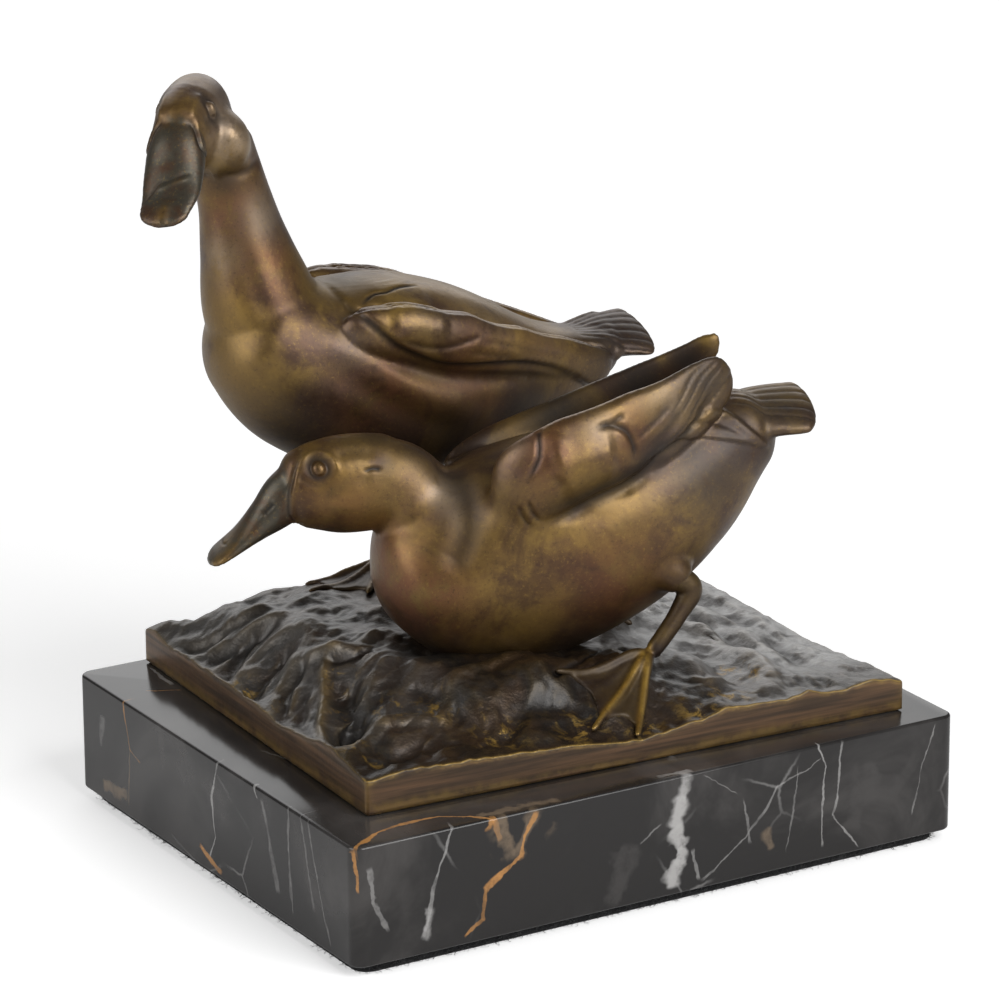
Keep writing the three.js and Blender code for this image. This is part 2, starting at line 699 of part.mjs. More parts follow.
function coreTopOf(core) {
  const box = core.boundingBox();
  return (box.min[2] + box.max[2]) / 2;
}

function frontDuckBody() {
  const bosses = joined(frontScrewPlaces.map((x) =>
    bar(x, 0, farBelow, screwTop + screwBossCap, screwBossRadius, 14)));
  const holes = joined(frontScrewPlaces.map((x) =>
    bar(x, 0, farBelow, screwTop + threadGap, screwRadius + threadGap, 12)));
  const core = loft(frontBody.slice(1, 6), coreForm).subtract(bosses);
  return ventAndSockets(frontDuckSkin().subtract(holes), core, frontCoreHolePlace, frontDuckPlace, "front");
}

function rearDuckBody() {
  const core = loft(rearBody.slice(1, 7), coreForm);
  return ventAndSockets(rearDuckSkin(), core, rearCoreHolePlace, rearDuckPlace, "rear");
}

const screwPoints = frontScrewPlaces.map((x) => placedPoint([x, 0, screwTop], frontDuckPlace));
const nutPoints = legs.filter((leg) => leg.nut).map(ankleOf);

function groundCasting() {
  let shape = terrainBlock(groundLength, groundWidth, groundStep, 0, earthHeight);
  shape = shape.subtract(terrainBlock(
    groundLength - 2 * groundWall, groundWidth - 2 * groundWall, hollowStep, -1, hollowHeight));
  for (const [x, y] of studPlaces) {
    const roof = heightAt(hollowHeight, x, y);
    shape = shape.add(bar(x, y, plinthTop + castGap, roof + 1, studBossRadius));
    shape = shape.subtract(
      bar(x, y, plinthTop - 1, plinthTop + studReach + threadGap, studRadius + threadGap));
  }
  for (const point of [...screwPoints, ...nutPoints]) {
    const radius = footNutAcrossFlats / 2 / Math.cos(Math.PI / 6) + spotFaceMargin;
    shape = shape.subtract(bar(point.x, point.y, plinthTop - 1, seatUnder(point.x, point.y), radius));
  }
  for (const point of screwPoints) {
    shape = shape.subtract(bar(point.x, point.y, plinthTop, point.z, screwRadius + threadGap, 12));
  }
  for (const leg of legs) shape = shape.subtract(footShape(leg, castGap, footHeadroom));
  return shape.subtract(placed(loft(frontBody, { ...frontBodyForm, grow: castGap }), frontDuckPlace));
}

// Plinth, felt and fixings

function marblePlinth() {
  let shape = slab(plinthLength, plinthWidth, feltThickness, plinthTop, plinthCornerRadius, plinthEdgeRound);
  for (const [x, y] of studPlaces) {
    shape = shape.subtract(bar(x, y, 0, plinthTop + 1, boreRadius));
    shape = shape.subtract(bar(x, y, 0, feltThickness + counterboreDepth, counterboreRadius, 28));
  }
  return shape;
}

function feltPad() {
  return slab(plinthLength - 2 * feltInset, plinthWidth - 2 * feltInset, 0, feltThickness, feltCornerRadius);
}

function screwShape({ x, y, z }) {
  const seat = seatUnder(x, y);
  const head = bar(x, y, seat - screwHeadHeight, seat, screwHeadRadius);
  return bar(x, y, seat, z, screwRadius, 12).add(head);
}

const materials = {
  felt: new THREE.MeshStandardMaterial({ color: 0x141414, roughness: 1, metalness: 0 }),
  marble: new THREE.MeshStandardMaterial({ color: 0x2b2a2b, roughness: 0.15, metalness: 0 }),
  groundBronze: new THREE.MeshStandardMaterial({ color: 0x3a3128, roughness: 0.45, metalness: 0.9 }),
  duckBronze: new THREE.MeshStandardMaterial({ color: 0x7a5a2e, roughness: 0.32, metalness: 0.9 }),
  steel: new THREE.MeshStandardMaterial({ color: 0x9a9a98, roughness: 0.4, metalness: 1 }),
};

const model = new THREE.Group();

function add(name, shape, material) {
  const mesh = new THREE.Mesh(geometryOf(shape), material.clone());
  mesh.name = name;
  model.add(mesh);
}

add("felt_pad", feltPad(), materials.felt);
add("marble_plinth", marblePlinth(), materials.marble);
add("ground_casting", groundCasting(), materials.groundBronze);
add("front_duck_body", frontDuckBody(), materials.duckBronze);
add("rear_duck_body", rearDuckBody(), materials.duckBronze);
for (const leg of legs) add(leg.name, legShape(leg), materials.duckBronze);

const counterboreSeat = feltThickness + counterboreDepth;
studPlaces.forEach(([x, y], i) => {
  const washerBottom = counterboreSeat - washerThickness;
  const nutBottom = washerBottom - nutThickness;
  const washerHole = bar(x, y, washerBottom - 1, counterboreSeat + 1, studRadius + threadGap);
  const washer = bar(x, y, washerBottom, counterboreSeat, washerRadius).subtract(washerHole);
  const stud = bar(x, y, nutBottom - threadTail, plinthTop + studReach, studRadius);
  add(`plinth_stud_${i + 1}`, stud, materials.steel);
  add(`plinth_washer_${i + 1}`, washer, materials.steel);
  const nut = hexNut(x, y, nutBottom, washerBottom, nutAcrossFlats, studRadius + threadGap);
  add(`plinth_nut_${i + 1}`, nut, materials.steel);
});
screwPoints.forEach((point, i) => add(`front_duck_screw_${i + 1}`, screwShape(point), materials.steel));
nutPoints.forEach(({ x, y }, i) => {
  const seat = seatUnder(x, y);
  const nut = hexNut(x, y, seat - footNutThickness, seat, footNutAcrossFlats, footPinRadius + threadGap);
  add(`rear_duck_nut_${i + 1}`, nut, materials.steel);
});

export default model;
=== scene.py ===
from math import cos, pi, radians, sin

import bpy
import bmesh
import numpy as np
from mathutils import Matrix, Vector


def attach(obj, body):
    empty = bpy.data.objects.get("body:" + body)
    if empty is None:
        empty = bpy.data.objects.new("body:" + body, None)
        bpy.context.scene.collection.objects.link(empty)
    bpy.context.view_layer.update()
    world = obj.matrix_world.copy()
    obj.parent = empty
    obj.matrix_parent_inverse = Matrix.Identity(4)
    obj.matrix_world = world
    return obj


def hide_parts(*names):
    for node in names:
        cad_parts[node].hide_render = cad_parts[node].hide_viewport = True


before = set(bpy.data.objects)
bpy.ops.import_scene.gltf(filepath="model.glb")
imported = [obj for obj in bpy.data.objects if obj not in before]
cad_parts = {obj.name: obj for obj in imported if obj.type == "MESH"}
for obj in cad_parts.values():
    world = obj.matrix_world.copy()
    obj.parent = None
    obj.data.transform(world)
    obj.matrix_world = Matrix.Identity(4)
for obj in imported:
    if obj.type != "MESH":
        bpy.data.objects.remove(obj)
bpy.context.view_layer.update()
scene = bpy.context.scene
mm = 0.001


def placed(name, data):  # a new object in the scene
    obj = bpy.data.objects.new(name, data)
    scene.collection.objects.link(obj)
    return obj


def evaluated(obj):  # the object's mesh with its modifiers applied
    depsgraph = bpy.context.evaluated_depsgraph_get()
    return bpy.data.meshes.new_from_object(obj.evaluated_get(depsgraph), depsgraph=depsgraph)


class nodeBench:  # a short way to write the node tree of a material or the world
    def __init__(self, owner, result="OutputMaterial"):
        owner.use_nodes = True
        self.owner = owner
        self.tree = owner.node_tree
        self.tree.nodes.clear()
        self.out = self.add(result)

    def add(self, kind, **settings):
        node = self.tree.nodes.new("ShaderNode" + kind)
        for key, value in settings.items():
            setattr(node, key, value)
        return node

    def put(self, socket, value):  # a link where value is a socket, otherwise a plain number or colour
        if hasattr(value, "is_output"):
            self.tree.links.new(value, socket)
        elif isinstance(value, tuple) and len(value) == 3 and socket.type == "RGBA":
            socket.default_value = (*value, 1)
        else:
            socket.default_value = value

    def shader(self, kind, **inputs):
        node = self.add(kind)
        for key, value in inputs.items():
            self.put(node.inputs[key.replace("_", " ")], value)
        return node.outputs[0]

    def joined(self, kind, *parts):  # a node whose inputs are filled in their order
        node = self.add(kind)
        for socket, part in zip(node.inputs, parts):
            self.put(socket, part)
        return node.outputs[0]

    def math(self, op, a, b=0.0, clamp=False):
        node = self.add("Math", operation=op, use_clamp=clamp)
        self.put(node.inputs[0], a)
        self.put(node.inputs[1], b)
        return node.outputs[0]

    def times(self, a, b, clamp=False):
        return self.math("MULTIPLY", a, b, clamp)

    def plus(self, a, b, clamp=False):
        return self.math("ADD", a, b, clamp)

    def vector(self, op, a, b=None):
        node = self.add("VectorMath", operation=op)
        self.put(node.inputs[0], a)
        if b is not None:
            self.put(node.inputs[1], b)
        return node.outputs

    def noise(self, scale, detail=3.0, rough=0.55, place=None, distort=0.0, stretch=None):
        where = place or self.place
        if stretch:
            where = self.shader("Mapping", Vector=where, Scale=stretch)
        return self.shader("TexNoise", Vector=where, Scale=scale, Detail=detail, Roughness=rough,
                           Distortion=distort)

    def ramp(self, value, low, high, a=0.0, b=1.0):
        node = self.add("MapRange", interpolation_type="SMOOTHSTEP")
        keys = ("Value", "From Min", "From Max", "To Min", "To Max")
        for key, number in zip(keys, (value, low, high, a, b)):
            self.put(node.inputs[key], number)
        return node.outputs["Result"]

    def patches(self, amount, pattern, low, high):  # an amount broken up by a noise pattern
        return self.times(amount, self.ramp(pattern, low, high), True)

    def mix(self, share, a, b):
        node = self.add("Mix", data_type="RGBA")
        self.put(node.inputs["Factor"], share)
        self.put(node.inputs[6], a)
        self.put(node.inputs[7], b)
        return node.outputs[2]

    def attribute(self, name):
        return self.add("Attribute", attribute_name=name).outputs["Fac"]

    def bump(self, height, strength, distance, normal=None):
        node = self.add("Bump")
        node.inputs["Strength"].default_value = strength
        node.inputs["Distance"].default_value = distance
        self.put(node.inputs["Height"], height)
        if normal:
            self.put(node.inputs["Normal"], normal)
        return node.outputs[0]

    def finish(self, surface):
        self.put(self.out.inputs["Surface"], surface)
        return self.owner

    def principled(self, **inputs):
        return self.finish(self.shader("BsdfPrincipled", **inputs))


def materialBench(name):
    bench = nodeBench(bpy.data.materials.new(name))
    bench.place = bench.add("TexCoord").outputs["Object"]
    return bench


# camera, light and floor

camera = {
    "place": (-0.5717, -0.94762, 0.43664),
    "azimuth": -30.983, "elevation": 18.157, "roll": -0.272,
    "lens": 189.32, "sensor": 36, "clip": (0.05, 20),
}


def makeCamera(view):
    data = bpy.data.cameras.new("camera")
    data.lens = view["lens"]
    data.sensor_width = view["sensor"]
    data.clip_start, data.clip_end = view["clip"]
    obj = placed("camera", data)
    turn = (Matrix.Rotation(radians(view["azimuth"]), 4, "Z")
            @ Matrix.Rotation(radians(90 - view["elevation"]), 4, "X")
            @ Matrix.Rotation(radians(view["roll"]), 4, "Z"))
    obj.matrix_world = Matrix.Translation(view["place"]) @ turn
    scene.camera = obj


light = {
    "world": 0.17,
    "softboxes": [  # place, aimed at, size and power, in metres and watts
        ("keyBox", (0.22, -1.05, 0.78), (0, 0, 0.08), (0.95, 0.95), 16.0),
        ("leftBox", (-1.25, 0.10, 0.52), (0, 0, 0.08), (0.9, 0.9), 8.0),
        ("backBox", (0.45, 1.1, 0.58), (0, 0, 0.06), (1.3, 0.7), 4.2),
    ],
    "floor": (0.86, 0.86, 0.86), "floorGlow": 0.42, "floorReach": 6.0,
}


def makeLights(studio):
    scene.world = bpy.data.worlds.new("studio")
    b = nodeBench(scene.world, "OutputWorld")
    path = b.add("LightPath").outputs
    seen = b.math("MAXIMUM", path["Is Camera Ray"], path["Is Transmission Ray"])
    soft = b.shader("Background", Color=(1, 1, 1), Strength=studio["world"])
    b.finish(b.joined("MixShader", seen, soft, b.shader("Background", Color=(1, 1, 1))))
    for name, place, goal, size, power in studio["softboxes"]:
        lamp = bpy.data.lights.new(name, "AREA")
        lamp.shape = "RECTANGLE"
        lamp.size, lamp.size_y = size
        lamp.energy = power
        aim = Vector(goal) - Vector(place)
        turn = aim.to_track_quat("-Z", "Y").to_matrix().to_4x4()
        placed(name, lamp).matrix_world = Matrix.Translation(place) @ turn


def makeFloor(studio):
    me = bpy.data.meshes.new("floor")
    r = studio["floorReach"]
    me.from_pydata([(-r, -r, 0), (r, -r, 0), (r, r, 0), (-r, r, 0)], [], [(0, 1, 2, 3)])
    obj = placed("floor", me)
    b = nodeBench(bpy.data.materials.new("paleFloor"))
    glow = b.times(b.add("LightPath").outputs["Is Camera Ray"], studio["floorGlow"])
    base = b.shader("BsdfDiffuse", Color=studio["floor"])
    me.materials.append(b.finish(b.joined("AddShader", base, b.shader("Emission", Strength=glow))))


scene.view_settings.view_transform = "Standard"
makeCamera(camera)
makeLights(light)
makeFloor(light)
print("camera, light and floor are set")


# finishes

bronze = {
    "olive": (0.170, 0.098, 0.022), "gold": (0.38, 0.235, 0.040), "brown": (0.066, 0.029, 0.011),
    # the pale tan colour below is a painted highlight: the soft sheen of the lamps on the satin bronze
    "red": (0.155, 0.054, 0.021), "grey": (0.085, 0.064, 0.056), "paintedSheen": (0.30, 0.225, 0.155),
    "black": (0.009, 0.006, 0.004), "bill": (0.062, 0.053, 0.036),
    "metallic": 0.70, "roughness": 0.41, "coat": 0.38, "coatRoughness": 0.41,
}


def duckBronze(look):
    b = materialBench("duckBronze")
    dark, rub, bill = b.attribute("dark"), b.attribute("rub"), b.attribute("bill")
    mottle = b.noise(150, 5, 0.68, distort=0.4)
    cloudy = b.ramp(b.noise(42, 4, 0.62, distort=0.7), 0.40, 0.60)
    patchy = b.ramp(b.noise(75, 4, 0.65, distort=0.5), 0.36, 0.64)
    fine = b.noise(1300, 3, 0.7)
    colour = b.mix(cloudy, look["brown"], look["olive"])
    # red and grey are patina colours; the pale tan layer is a painted highlight, the sheen of the lamps
    for layer, low, high in (("red", 0.25, 0.6), ("grey", 0.2, 0.6), ("paintedSheen", 0.2, 0.55)):
        colour = b.mix(b.patches(b.attribute(layer), mottle, low, high), colour, look[layer])
    colour = b.mix(bill, colour, b.mix(b.ramp(mottle, 0.4, 0.66), look["bill"], look["brown"]))
    gilt = b.patches(b.times(b.attribute("gold"), patchy), mottle, 0.30, 0.62)
    colour = b.mix(gilt, colour, look["gold"])
    colour = b.mix(b.patches(rub, mottle, 0.3, 0.65), colour, look["gold"])
    colour = b.mix(b.times(b.ramp(fine, 0.56, 0.72), 0.35), colour, look["black"])
    colour = b.mix(b.times(b.ramp(fine, 0.44, 0.30), 0.22), colour, look["gold"])
    speck = b.add("TexVoronoi", feature="F1")
    speck.inputs["Scale"].default_value = 560
    speck = speck.outputs["Distance"]
    specks = b.times(b.ramp(speck, 0.12, 0.24, 1, 0), b.ramp(b.noise(60, 2), 0.46, 0.58))
    colour = b.mix(b.times(specks, 0.85), colour, look["black"])
    # the dark layer blackens the patina in hollows and grooves, and paints shade under the bellies, under the
    # wings and inside the far wing
    patinaAndShade = b.times(dark, b.ramp(mottle, 0.1, 0.55, 0.65, 1), True)
    colour = b.mix(patinaAndShade, colour, look["black"])
    rough = b.plus(look["roughness"], b.times(b.math("SUBTRACT", mottle, 0.5), 0.34))
    rough = b.plus(rough, b.times(dark, 0.22), True)
    relief = b.plus(b.times(b.noise(900, 3, 0.6), 0.35), b.noise(130, 3, 0.5))
    normal = b.bump(relief, 0.30, 0.0004)
    normal = b.bump(b.ramp(speck, 0.05, 0.25), 0.12, 0.0003, normal)
    return b.principled(Base_Color=colour, Metallic=look["metallic"], Roughness=rough, Normal=normal,
                        Coat_Weight=look["coat"], Coat_Roughness=look["coatRoughness"])


groundFinish = {
    # grey and bright are painted reflections: the sheen of the lamps and the backdrop on the left and right
    # of the earth
    "dark": (0.015, 0.011, 0.008), "brown": (0.042, 0.023, 0.011), "grey": (0.092, 0.086, 0.080),
    "gold": (0.40, 0.25, 0.05), "side": (0.140, 0.074, 0.034), "black": (0.006, 0.005, 0.0045),
    "bright": (0.40, 0.395, 0.39), "metallic": 0.65, "coat": 0.5, "coatRoughness": 0.34,
}


def groundBronze(look):
    b = materialBench("groundBronze")
    dark, rub, side = b.attribute("dark"), b.attribute("rub"), b.attribute("side")
    mottle = b.noise(150, 5, 0.66)
    colour = b.mix(b.ramp(b.noise(45, 4, 0.6, distort=0.5), 0.42, 0.62), look["dark"], look["brown"])
    # painted reflections: a grey sheen on the left and right, and a paler one on the right
    colour = b.mix(b.patches(b.attribute("sheen"), mottle, 0.2, 0.55), colour, look["grey"])
    colour = b.mix(b.patches(b.attribute("bright"), mottle, 0.2, 0.6), colour, look["bright"])
    colour = b.mix(dark, colour, look["black"])
    spots = b.times(b.attribute("gilt"), b.ramp(b.noise(260, 5, 0.72, distort=0.5), 0.50, 0.66))
    rubbed = b.plus(spots, b.times(rub, b.ramp(mottle, 0.2, 0.5)), True)
    colour = b.mix(rubbed, colour, look["gold"])
    brushed = b.noise(260, 3, 0.6, stretch=(0.12, 0.12, 3.0))
    sideColour = b.mix(b.ramp(brushed, 0.3, 0.7), look["side"], look["brown"])
    sideColour = b.mix(b.patches(rub, mottle, 0.3, 0.6), sideColour, look["gold"])
    colour = b.mix(side, colour, sideColour)
    rough = b.plus(0.34, b.times(mottle, 0.26))
    relief = b.plus(b.times(b.noise(800, 4, 0.65), 0.25), b.noise(270, 4, 0.62))
    calm = b.times(relief, b.math("SUBTRACT", 1.0, b.times(side, 0.8)))
    normal = b.bump(calm, 0.55, 0.0013)
    return b.principled(Base_Color=colour, Metallic=look["metallic"], Roughness=rough, Normal=normal,
                        Coat_Weight=look["coat"], Coat_Roughness=look["coatRoughness"])


marbleFinish = {
    "black": (0.017, 0.0155, 0.0150), "smoke": (0.055, 0.051, 0.049), "white": (0.42, 0.41, 0.40),
    "tan": (0.20, 0.145, 0.095), "gold": (0.48, 0.23, 0.07), "roughness": 0.15, "wander": 0.0045,
    "lean": 0.12,
    # each vein follows points on one face, in mm along and up it, with its half width and how full it is
    "faces": {"front": ((0, 2), 1, -63), "left": ((1, 2), 0, -76), "top": ((0, 1), 2, 29.5),
              "right": ((1, 2), 0, 76), "back": ((0, 2), 1, 63)},
    "veins": [
        ("top", [(-75, -62), (-68, -57.5), (-60, -55), (-52, -55.5), (-45.5, -59), (-42.5, -63)],
         0.6, "gold", 0.85),
        ("front", [(-42.5, 29.5), (-41, 25)], 0.7, "gold", 0.7),
        ("front", [(-75.6, 29), (-75, 20)], 0.35, "gold", 0.8),
        ("front", [(-72.5, 24.5), (-71.5, 17), (-69, 10)], 0.8, "white", 0.4),
        ("front", [(-51.5, 29.5), (-55.5, 19), (-59.5, 7)], 0.45, "white", 0.5),
        ("front", [(-58, 12), (-59.5, 6)], 1.3, "white", 0.6),
        ("front", [(-40.5, 29.5), (-38.5, 20)], 3.0, "tan", 0.7),
        ("front", [(-32, 29.5), (-37, 20)], 2.6, "tan", 0.65),
        ("top", [(-44, -60), (-26, -61)], 1.6, "tan", 0.6),
        ("front", [(-32, 28.5), (-35, 24), (-36, 19.5)], 0.9, "gold", 0.8),
        ("front", [(-36, 20), (-42.5, 15), (-44.5, 13.5)], 0.8, "gold", 0.9),
        ("front", [(-44.5, 13.5), (-45, 7.5), (-49, 4.5)], 0.4, "gold", 0.7),
        ("front", [(-9, 17), (-13, 4)], 4.2, "smoke", 0.7),
        ("front", [(53, 23), (49, 8)], 4.5, "smoke", 0.6),
        ("front", [(66, 22), (60, 14)], 3.0, "smoke", 0.4),
        ("front", [(6.3, 29.5), (4.6, 24)], 1.4, "white", 0.75),
        ("front", [(4.6, 25), (3.0, 18.5), (5.0, 13), (4.4, 9)], 2.5, "white", 0.9),
        ("front", [(4.6, 10), (2.2, 4)], 3.1, "white", 0.9),
        ("front", [(8, 11.5), (9.5, 4.5)], 0.35, "white", 0.5),
        ("front", [(39.5, 26), (28.5, 22), (21, 12), (10.5, 4)], 0.28, "white", 0.4),
        ("front", [(10.5, 28.5), (18.5, 22.5)], 0.2, "white", 0.3),
        ("front", [(20.5, 20.5), (22.5, 11)], 0.3, "white", 0.35),
        ("front", [(26, 13), (27.5, 8)], 1.2, "tan", 0.6),
        ("front", [(34, 25), (31.5, 7)], 0.2, "white", 0.35),
        ("front", [(39.5, 29.5), (41, 24), (40.5, 16), (41, 6)], 0.35, "white", 0.6),
        ("front", [(45.5, 28.5), (44.5, 17), (43.5, 13), (47, 8), (50, 4)], 0.3, "white", 0.5),
        ("front", [(70, 27.5), (67, 19), (65, 9)], 0.25, "white", 0.4),
        ("front", [(-6, 17), (-1, 20)], 0.2, "white", 0.35),
        ("top", [(0, -60.5), (8, -61.5)], 0.7, "white", 0.5),
        ("left", [(40.5, 29.5), (37.5, 19), (33, 17.5)], 0.3, "gold", 0.55),
        ("left", [(37.5, 19), (39, 6)], 0.3, "tan", 0.7),
        ("left", [(51, 6), (40, 8)], 2.0, "tan", 0.7),
        ("left", [(-3.5, 29.5), (-1, 21), (-2, 12), (1, 7)], 0.4, "white", 0.65),
        ("left", [(5, 7.5), (-4, 4.5)], 0.6, "gold", 0.8),
        ("left", [(-20, 29.5), (-21.5, 27)], 0.35, "white", 0.6),
        ("left", [(-23.5, 27), (-26.5, 18.5), (-29.5, 8.5)], 0.8, "white", 0.25),
        ("left", [(-35, 29), (-34.5, 19.5), (-36, 6.5)], 0.5, "white", 0.28),
        ("left", [(-43, 29), (-48, 15.5), (-52.5, 4.5)], 0.35, "white", 0.3),
        ("left", [(-40, 29.5), (-45.5, 11)], 0.4, "white", 0.22),
        ("left", [(23, 29), (22, 20)], 1.8, "smoke", 0.6),
        ("left", [(50.5, 23), (52, 16)], 1.2, "white", 0.2),
        ("top", [(-61, 57), (-62, 45)], 0.5, "white", 0.5),
        ("top", [(-69, 43.5), (-62, 40.5)], 0.4, "gold", 0.7),
        ("right", [(-40, 29), (-20, 3)], 0.6, "white", 0.5),
        ("right", [(30, 29), (22, 15), (26, 3)], 0.8, "gold", 0.6),
        ("back", [(20, 29), (30, 12), (28, 3)], 1.6, "white", 0.7),
        ("back", [(-45, 29), (-30, 3)], 0.5, "gold", 0.6),
    ],
}


def veinSheet(face, start, end, lean):  # the middle, facing and reach of a flat sheet that shows as this line
    axes, out, level = face
    a, b, inward = Vector(), Vector(), Vector()
    for axis, low, high in zip(axes, start, end):
        a[axis], b[axis] = low, high
        inward[axis] = lean
    a[out] = b[out] = level
    inward[out] = 1
    return (a + b) / 2, (b - a).cross(inward).normalized(), (b - a).length / 2


def polishedMarble(look):
    b = materialBench("polishedMarble")
    wander = b.noise(55, 5, 0.62).node.outputs["Color"]
    shift = b.vector("SUBTRACT", wander, (0.5, 0.5, 0.5))["Vector"]
    grow = b.add("VectorMath", operation="SCALE")
    b.put(grow.inputs[0], shift)
    grow.inputs["Scale"].default_value = look["wander"]
    bent = b.vector("ADD", b.place, grow.outputs[0])["Vector"]
    clouds = b.noise(24, 5, 0.6, place=bent, distort=0.8)
    colour = b.mix(b.ramp(clouds, 0.46, 0.74), look["black"], look["smoke"])
    web = b.add("TexVoronoi", feature="DISTANCE_TO_EDGE")
    b.put(web.inputs["Vector"], bent)
    web.inputs["Scale"].default_value = 32
    thread = b.ramp(web.outputs["Distance"], 0.0, 0.014, 1, 0)
    threads = b.times(thread, b.ramp(b.noise(30, 2), 0.52, 0.66))
    colour = b.mix(b.times(threads, 0.30), colour, look["white"])
    grainy = b.noise(190, 4, 0.7)
    mottled = b.ramp(grainy, 0.25, 0.6, 0.3, 1)
    swell = b.ramp(b.noise(120, 3, 0.6), 0.36, 0.64, 0.45, 1.5)
    for face, points, halfWidth, kind, full in look["veins"]:
        for start, end in zip(points, points[1:]):
            middle, facing, reach = veinSheet(look["faces"][face], start, end, look["lean"])
            away = b.vector("SUBTRACT", bent, middle * mm)["Vector"]
            across = b.vector("DOT_PRODUCT", away, facing)["Value"]
            far = b.vector("LENGTH", away)["Value"]
            soft = 0.45 if halfWidth < 1 else 0.7
            aside = b.math("DIVIDE", b.math("ABSOLUTE", across), swell)
            line = b.ramp(aside, halfWidth * (1 - soft) * mm, halfWidth * mm, full, 0)
            within = b.ramp(far, reach * 0.9 * mm, (reach * 1.08 + 0.5) * mm, 1, 0)
            share = b.times(b.times(line, within), mottled)
            colour = b.mix(share, colour, look[kind])
    return b.principled(Base_Color=colour, Roughness=look["roughness"], Specular_IOR_Level=0.42)


def blackFelt():
    b = materialBench("blackFelt")
    fuzz = b.noise(900, 4, 0.7)
    lint = b.noise(260, 3, 0.6)
    colour = b.mix(b.ramp(lint, 0.55, 0.75), (0.011, 0.011, 0.012), (0.035, 0.034, 0.036))
    normal = b.bump(fuzz, 0.8, 0.0006)
    return b.principled(Base_Color=colour, Roughness=1.0, Specular_IOR_Level=0.15, Sheen_Weight=0.25,
                        Normal=normal)


def platedSteel():
    b = materialBench("platedSteel")
    turned = b.noise(700, 3, 0.6, stretch=(1, 1, 0.1))
    blotch = b.noise(240, 3, 0.6)
    colour = b.mix(b.ramp(blotch, 0.35, 0.7), (0.42, 0.42, 0.40), (0.30, 0.29, 0.26))
    rough = b.ramp(turned, 0.2, 0.8, 0.28, 0.48)
    return b.principled(Base_Color=colour, Metallic=1.0, Roughness=rough, Normal=b.bump(turned, 0.15, 0.0002))


finishes = {
    "duck_bronze": duckBronze(bronze), "ground_bronze": groundBronze(groundFinish),
    "marble": polishedMarble(marbleFinish), "felt": blackFelt(), "steel": platedSteel(),
}
print("materials are made")


# clay: points in mm with faces, blended and carved before it becomes a piece

def smoothPath(points, share):  # a curve through the points, share from 0 to 1
    p = np.asarray(points, float)
    p = np.vstack([2 * p[0] - p[1], p, 2 * p[-1] - p[-2]])
    n = len(points) - 1
    t = np.clip(np.asarray(share, float) * n, 0, n - 1e-9)
    i = t.astype(int)
    f = (t - i)[:, None]
    a, b, c, d = p[i], p[i + 1], p[i + 2], p[i + 3]
    return b + 0.5 * f * (c - a + f * (2 * a - 5 * b + 4 * c - d + f * (3 * (b - c) + d - a)))


def unit(v):
    return v / np.maximum(np.linalg.norm(v, axis=-1, keepdims=True), 1e-12)


def loft(stations, nose, upward=(0, 0, 1), rings=70, sides=56, caps=12):
    # a station is x, y, z, half width, half height up and down; nose is how far each end rounds off
    rows = np.asarray([s if len(s) == 6 else (*s, s[4]) for s in stations], float)
    fine = np.linspace(0, 1, 600)
    middles = smoothPath(rows[:, :3], fine)
    sizes = smoothPath(rows[:, 3:], fine)
    run = np.concatenate([[0], np.cumsum(np.linalg.norm(np.diff(middles, axis=0), axis=1))])
    total = run[-1]
    quarter = np.linspace(0, 1, caps + 1)[1:] * pi / 2
    where = np.concatenate([nose[0] * (1 - np.cos(quarter)),
                            nose[0] + (total - sum(nose)) * np.linspace(0, 1, rings + 1)[1:-1],
                            total - nose[1] * (1 - np.cos(quarter[::-1]))])
    scale = np.concatenate([np.sin(quarter), np.ones(rings - 1), np.sin(quarter[::-1])])[:, None]
    at = np.column_stack([np.interp(where, run, middles[:, k]) for k in range(3)])
    size = np.column_stack([np.interp(where, run, sizes[:, k]) for k in range(3)])
    slope = unit(np.gradient(middles, axis=0))
    along = unit(np.column_stack([np.interp(where, run, slope[:, k]) for k in range(3)]))
    up = np.tile(np.asarray(upward, float), (len(at), 1))
    up = unit(up - (up * along).sum(1, keepdims=True) * along)
    across = np.cross(along, up)
    angle = 2 * pi * np.arange(sides) / sides
    height = np.where(np.sin(angle) > 0, size[:, 1:2], size[:, 2:3])
    ring = (at[:, None] + across[:, None] * (size[:, :1] * scale * np.cos(angle))[..., None]
            + up[:, None] * (height * scale * np.sin(angle))[..., None])
    points = np.vstack([middles[:1], ring.reshape(-1, 3), middles[-1:]])
    k = np.arange(len(at) - 1)[:, None] * sides + 1
    j = np.arange(sides)
    nxt = (j + 1) % sides
    quads = np.stack([k + j, k + sides + j, k + sides + nxt, k + nxt], -1).reshape(-1, 4)
    last = len(points) - 1
    first = np.stack([np.zeros(sides, int), 1 + j, 1 + nxt], -1)
    final = np.stack([np.full(sides, last), last - sides + nxt, last - sides + j], -1)
    return points, quads.tolist() + first.tolist() + final.tolist()


def movedShell(shell, matrix):
    points, faces = shell
    m = np.array(matrix)
    return points @ m[:3, :3].T + m[:3, 3], faces


def mirroredShell(shell):
    points, faces = shell
    return points * [1, -1, 1], [face[::-1] for face in faces]


def plainMesh(name, points, faces):
    me = bpy.data.meshes.new(name)
    me.from_pydata(np.asarray(points).tolist(), [], faces if isinstance(faces, list) else faces.tolist())
    me.update()
    return me


def blended(shells, grain):  # one skin round all the shells, in even small faces
    points, faces, start = [], [], 0
    for p, f in shells:
        points.append(p)
        faces += [[start + i for i in face] for face in f]
        start += len(p)
    obj = placed("clay", plainMesh("clay", np.vstack(points), faces))
    skin = obj.modifiers.new("skin", "REMESH")
    skin.mode = "VOXEL"
    skin.voxel_size = grain
    skin.adaptivity = 0
    me = evaluated(obj)
    old = obj.data
    bpy.data.objects.remove(obj)
    bpy.data.meshes.remove(old)
    return me


# the layers each piece carries: patina colours and wear, with painted shade in the dark layer and a painted
# highlight in the pale tan layer
patinaAndPaintedLight = ("dark", "rub", "bill", "gold", "red", "grey", "paintedSheen")


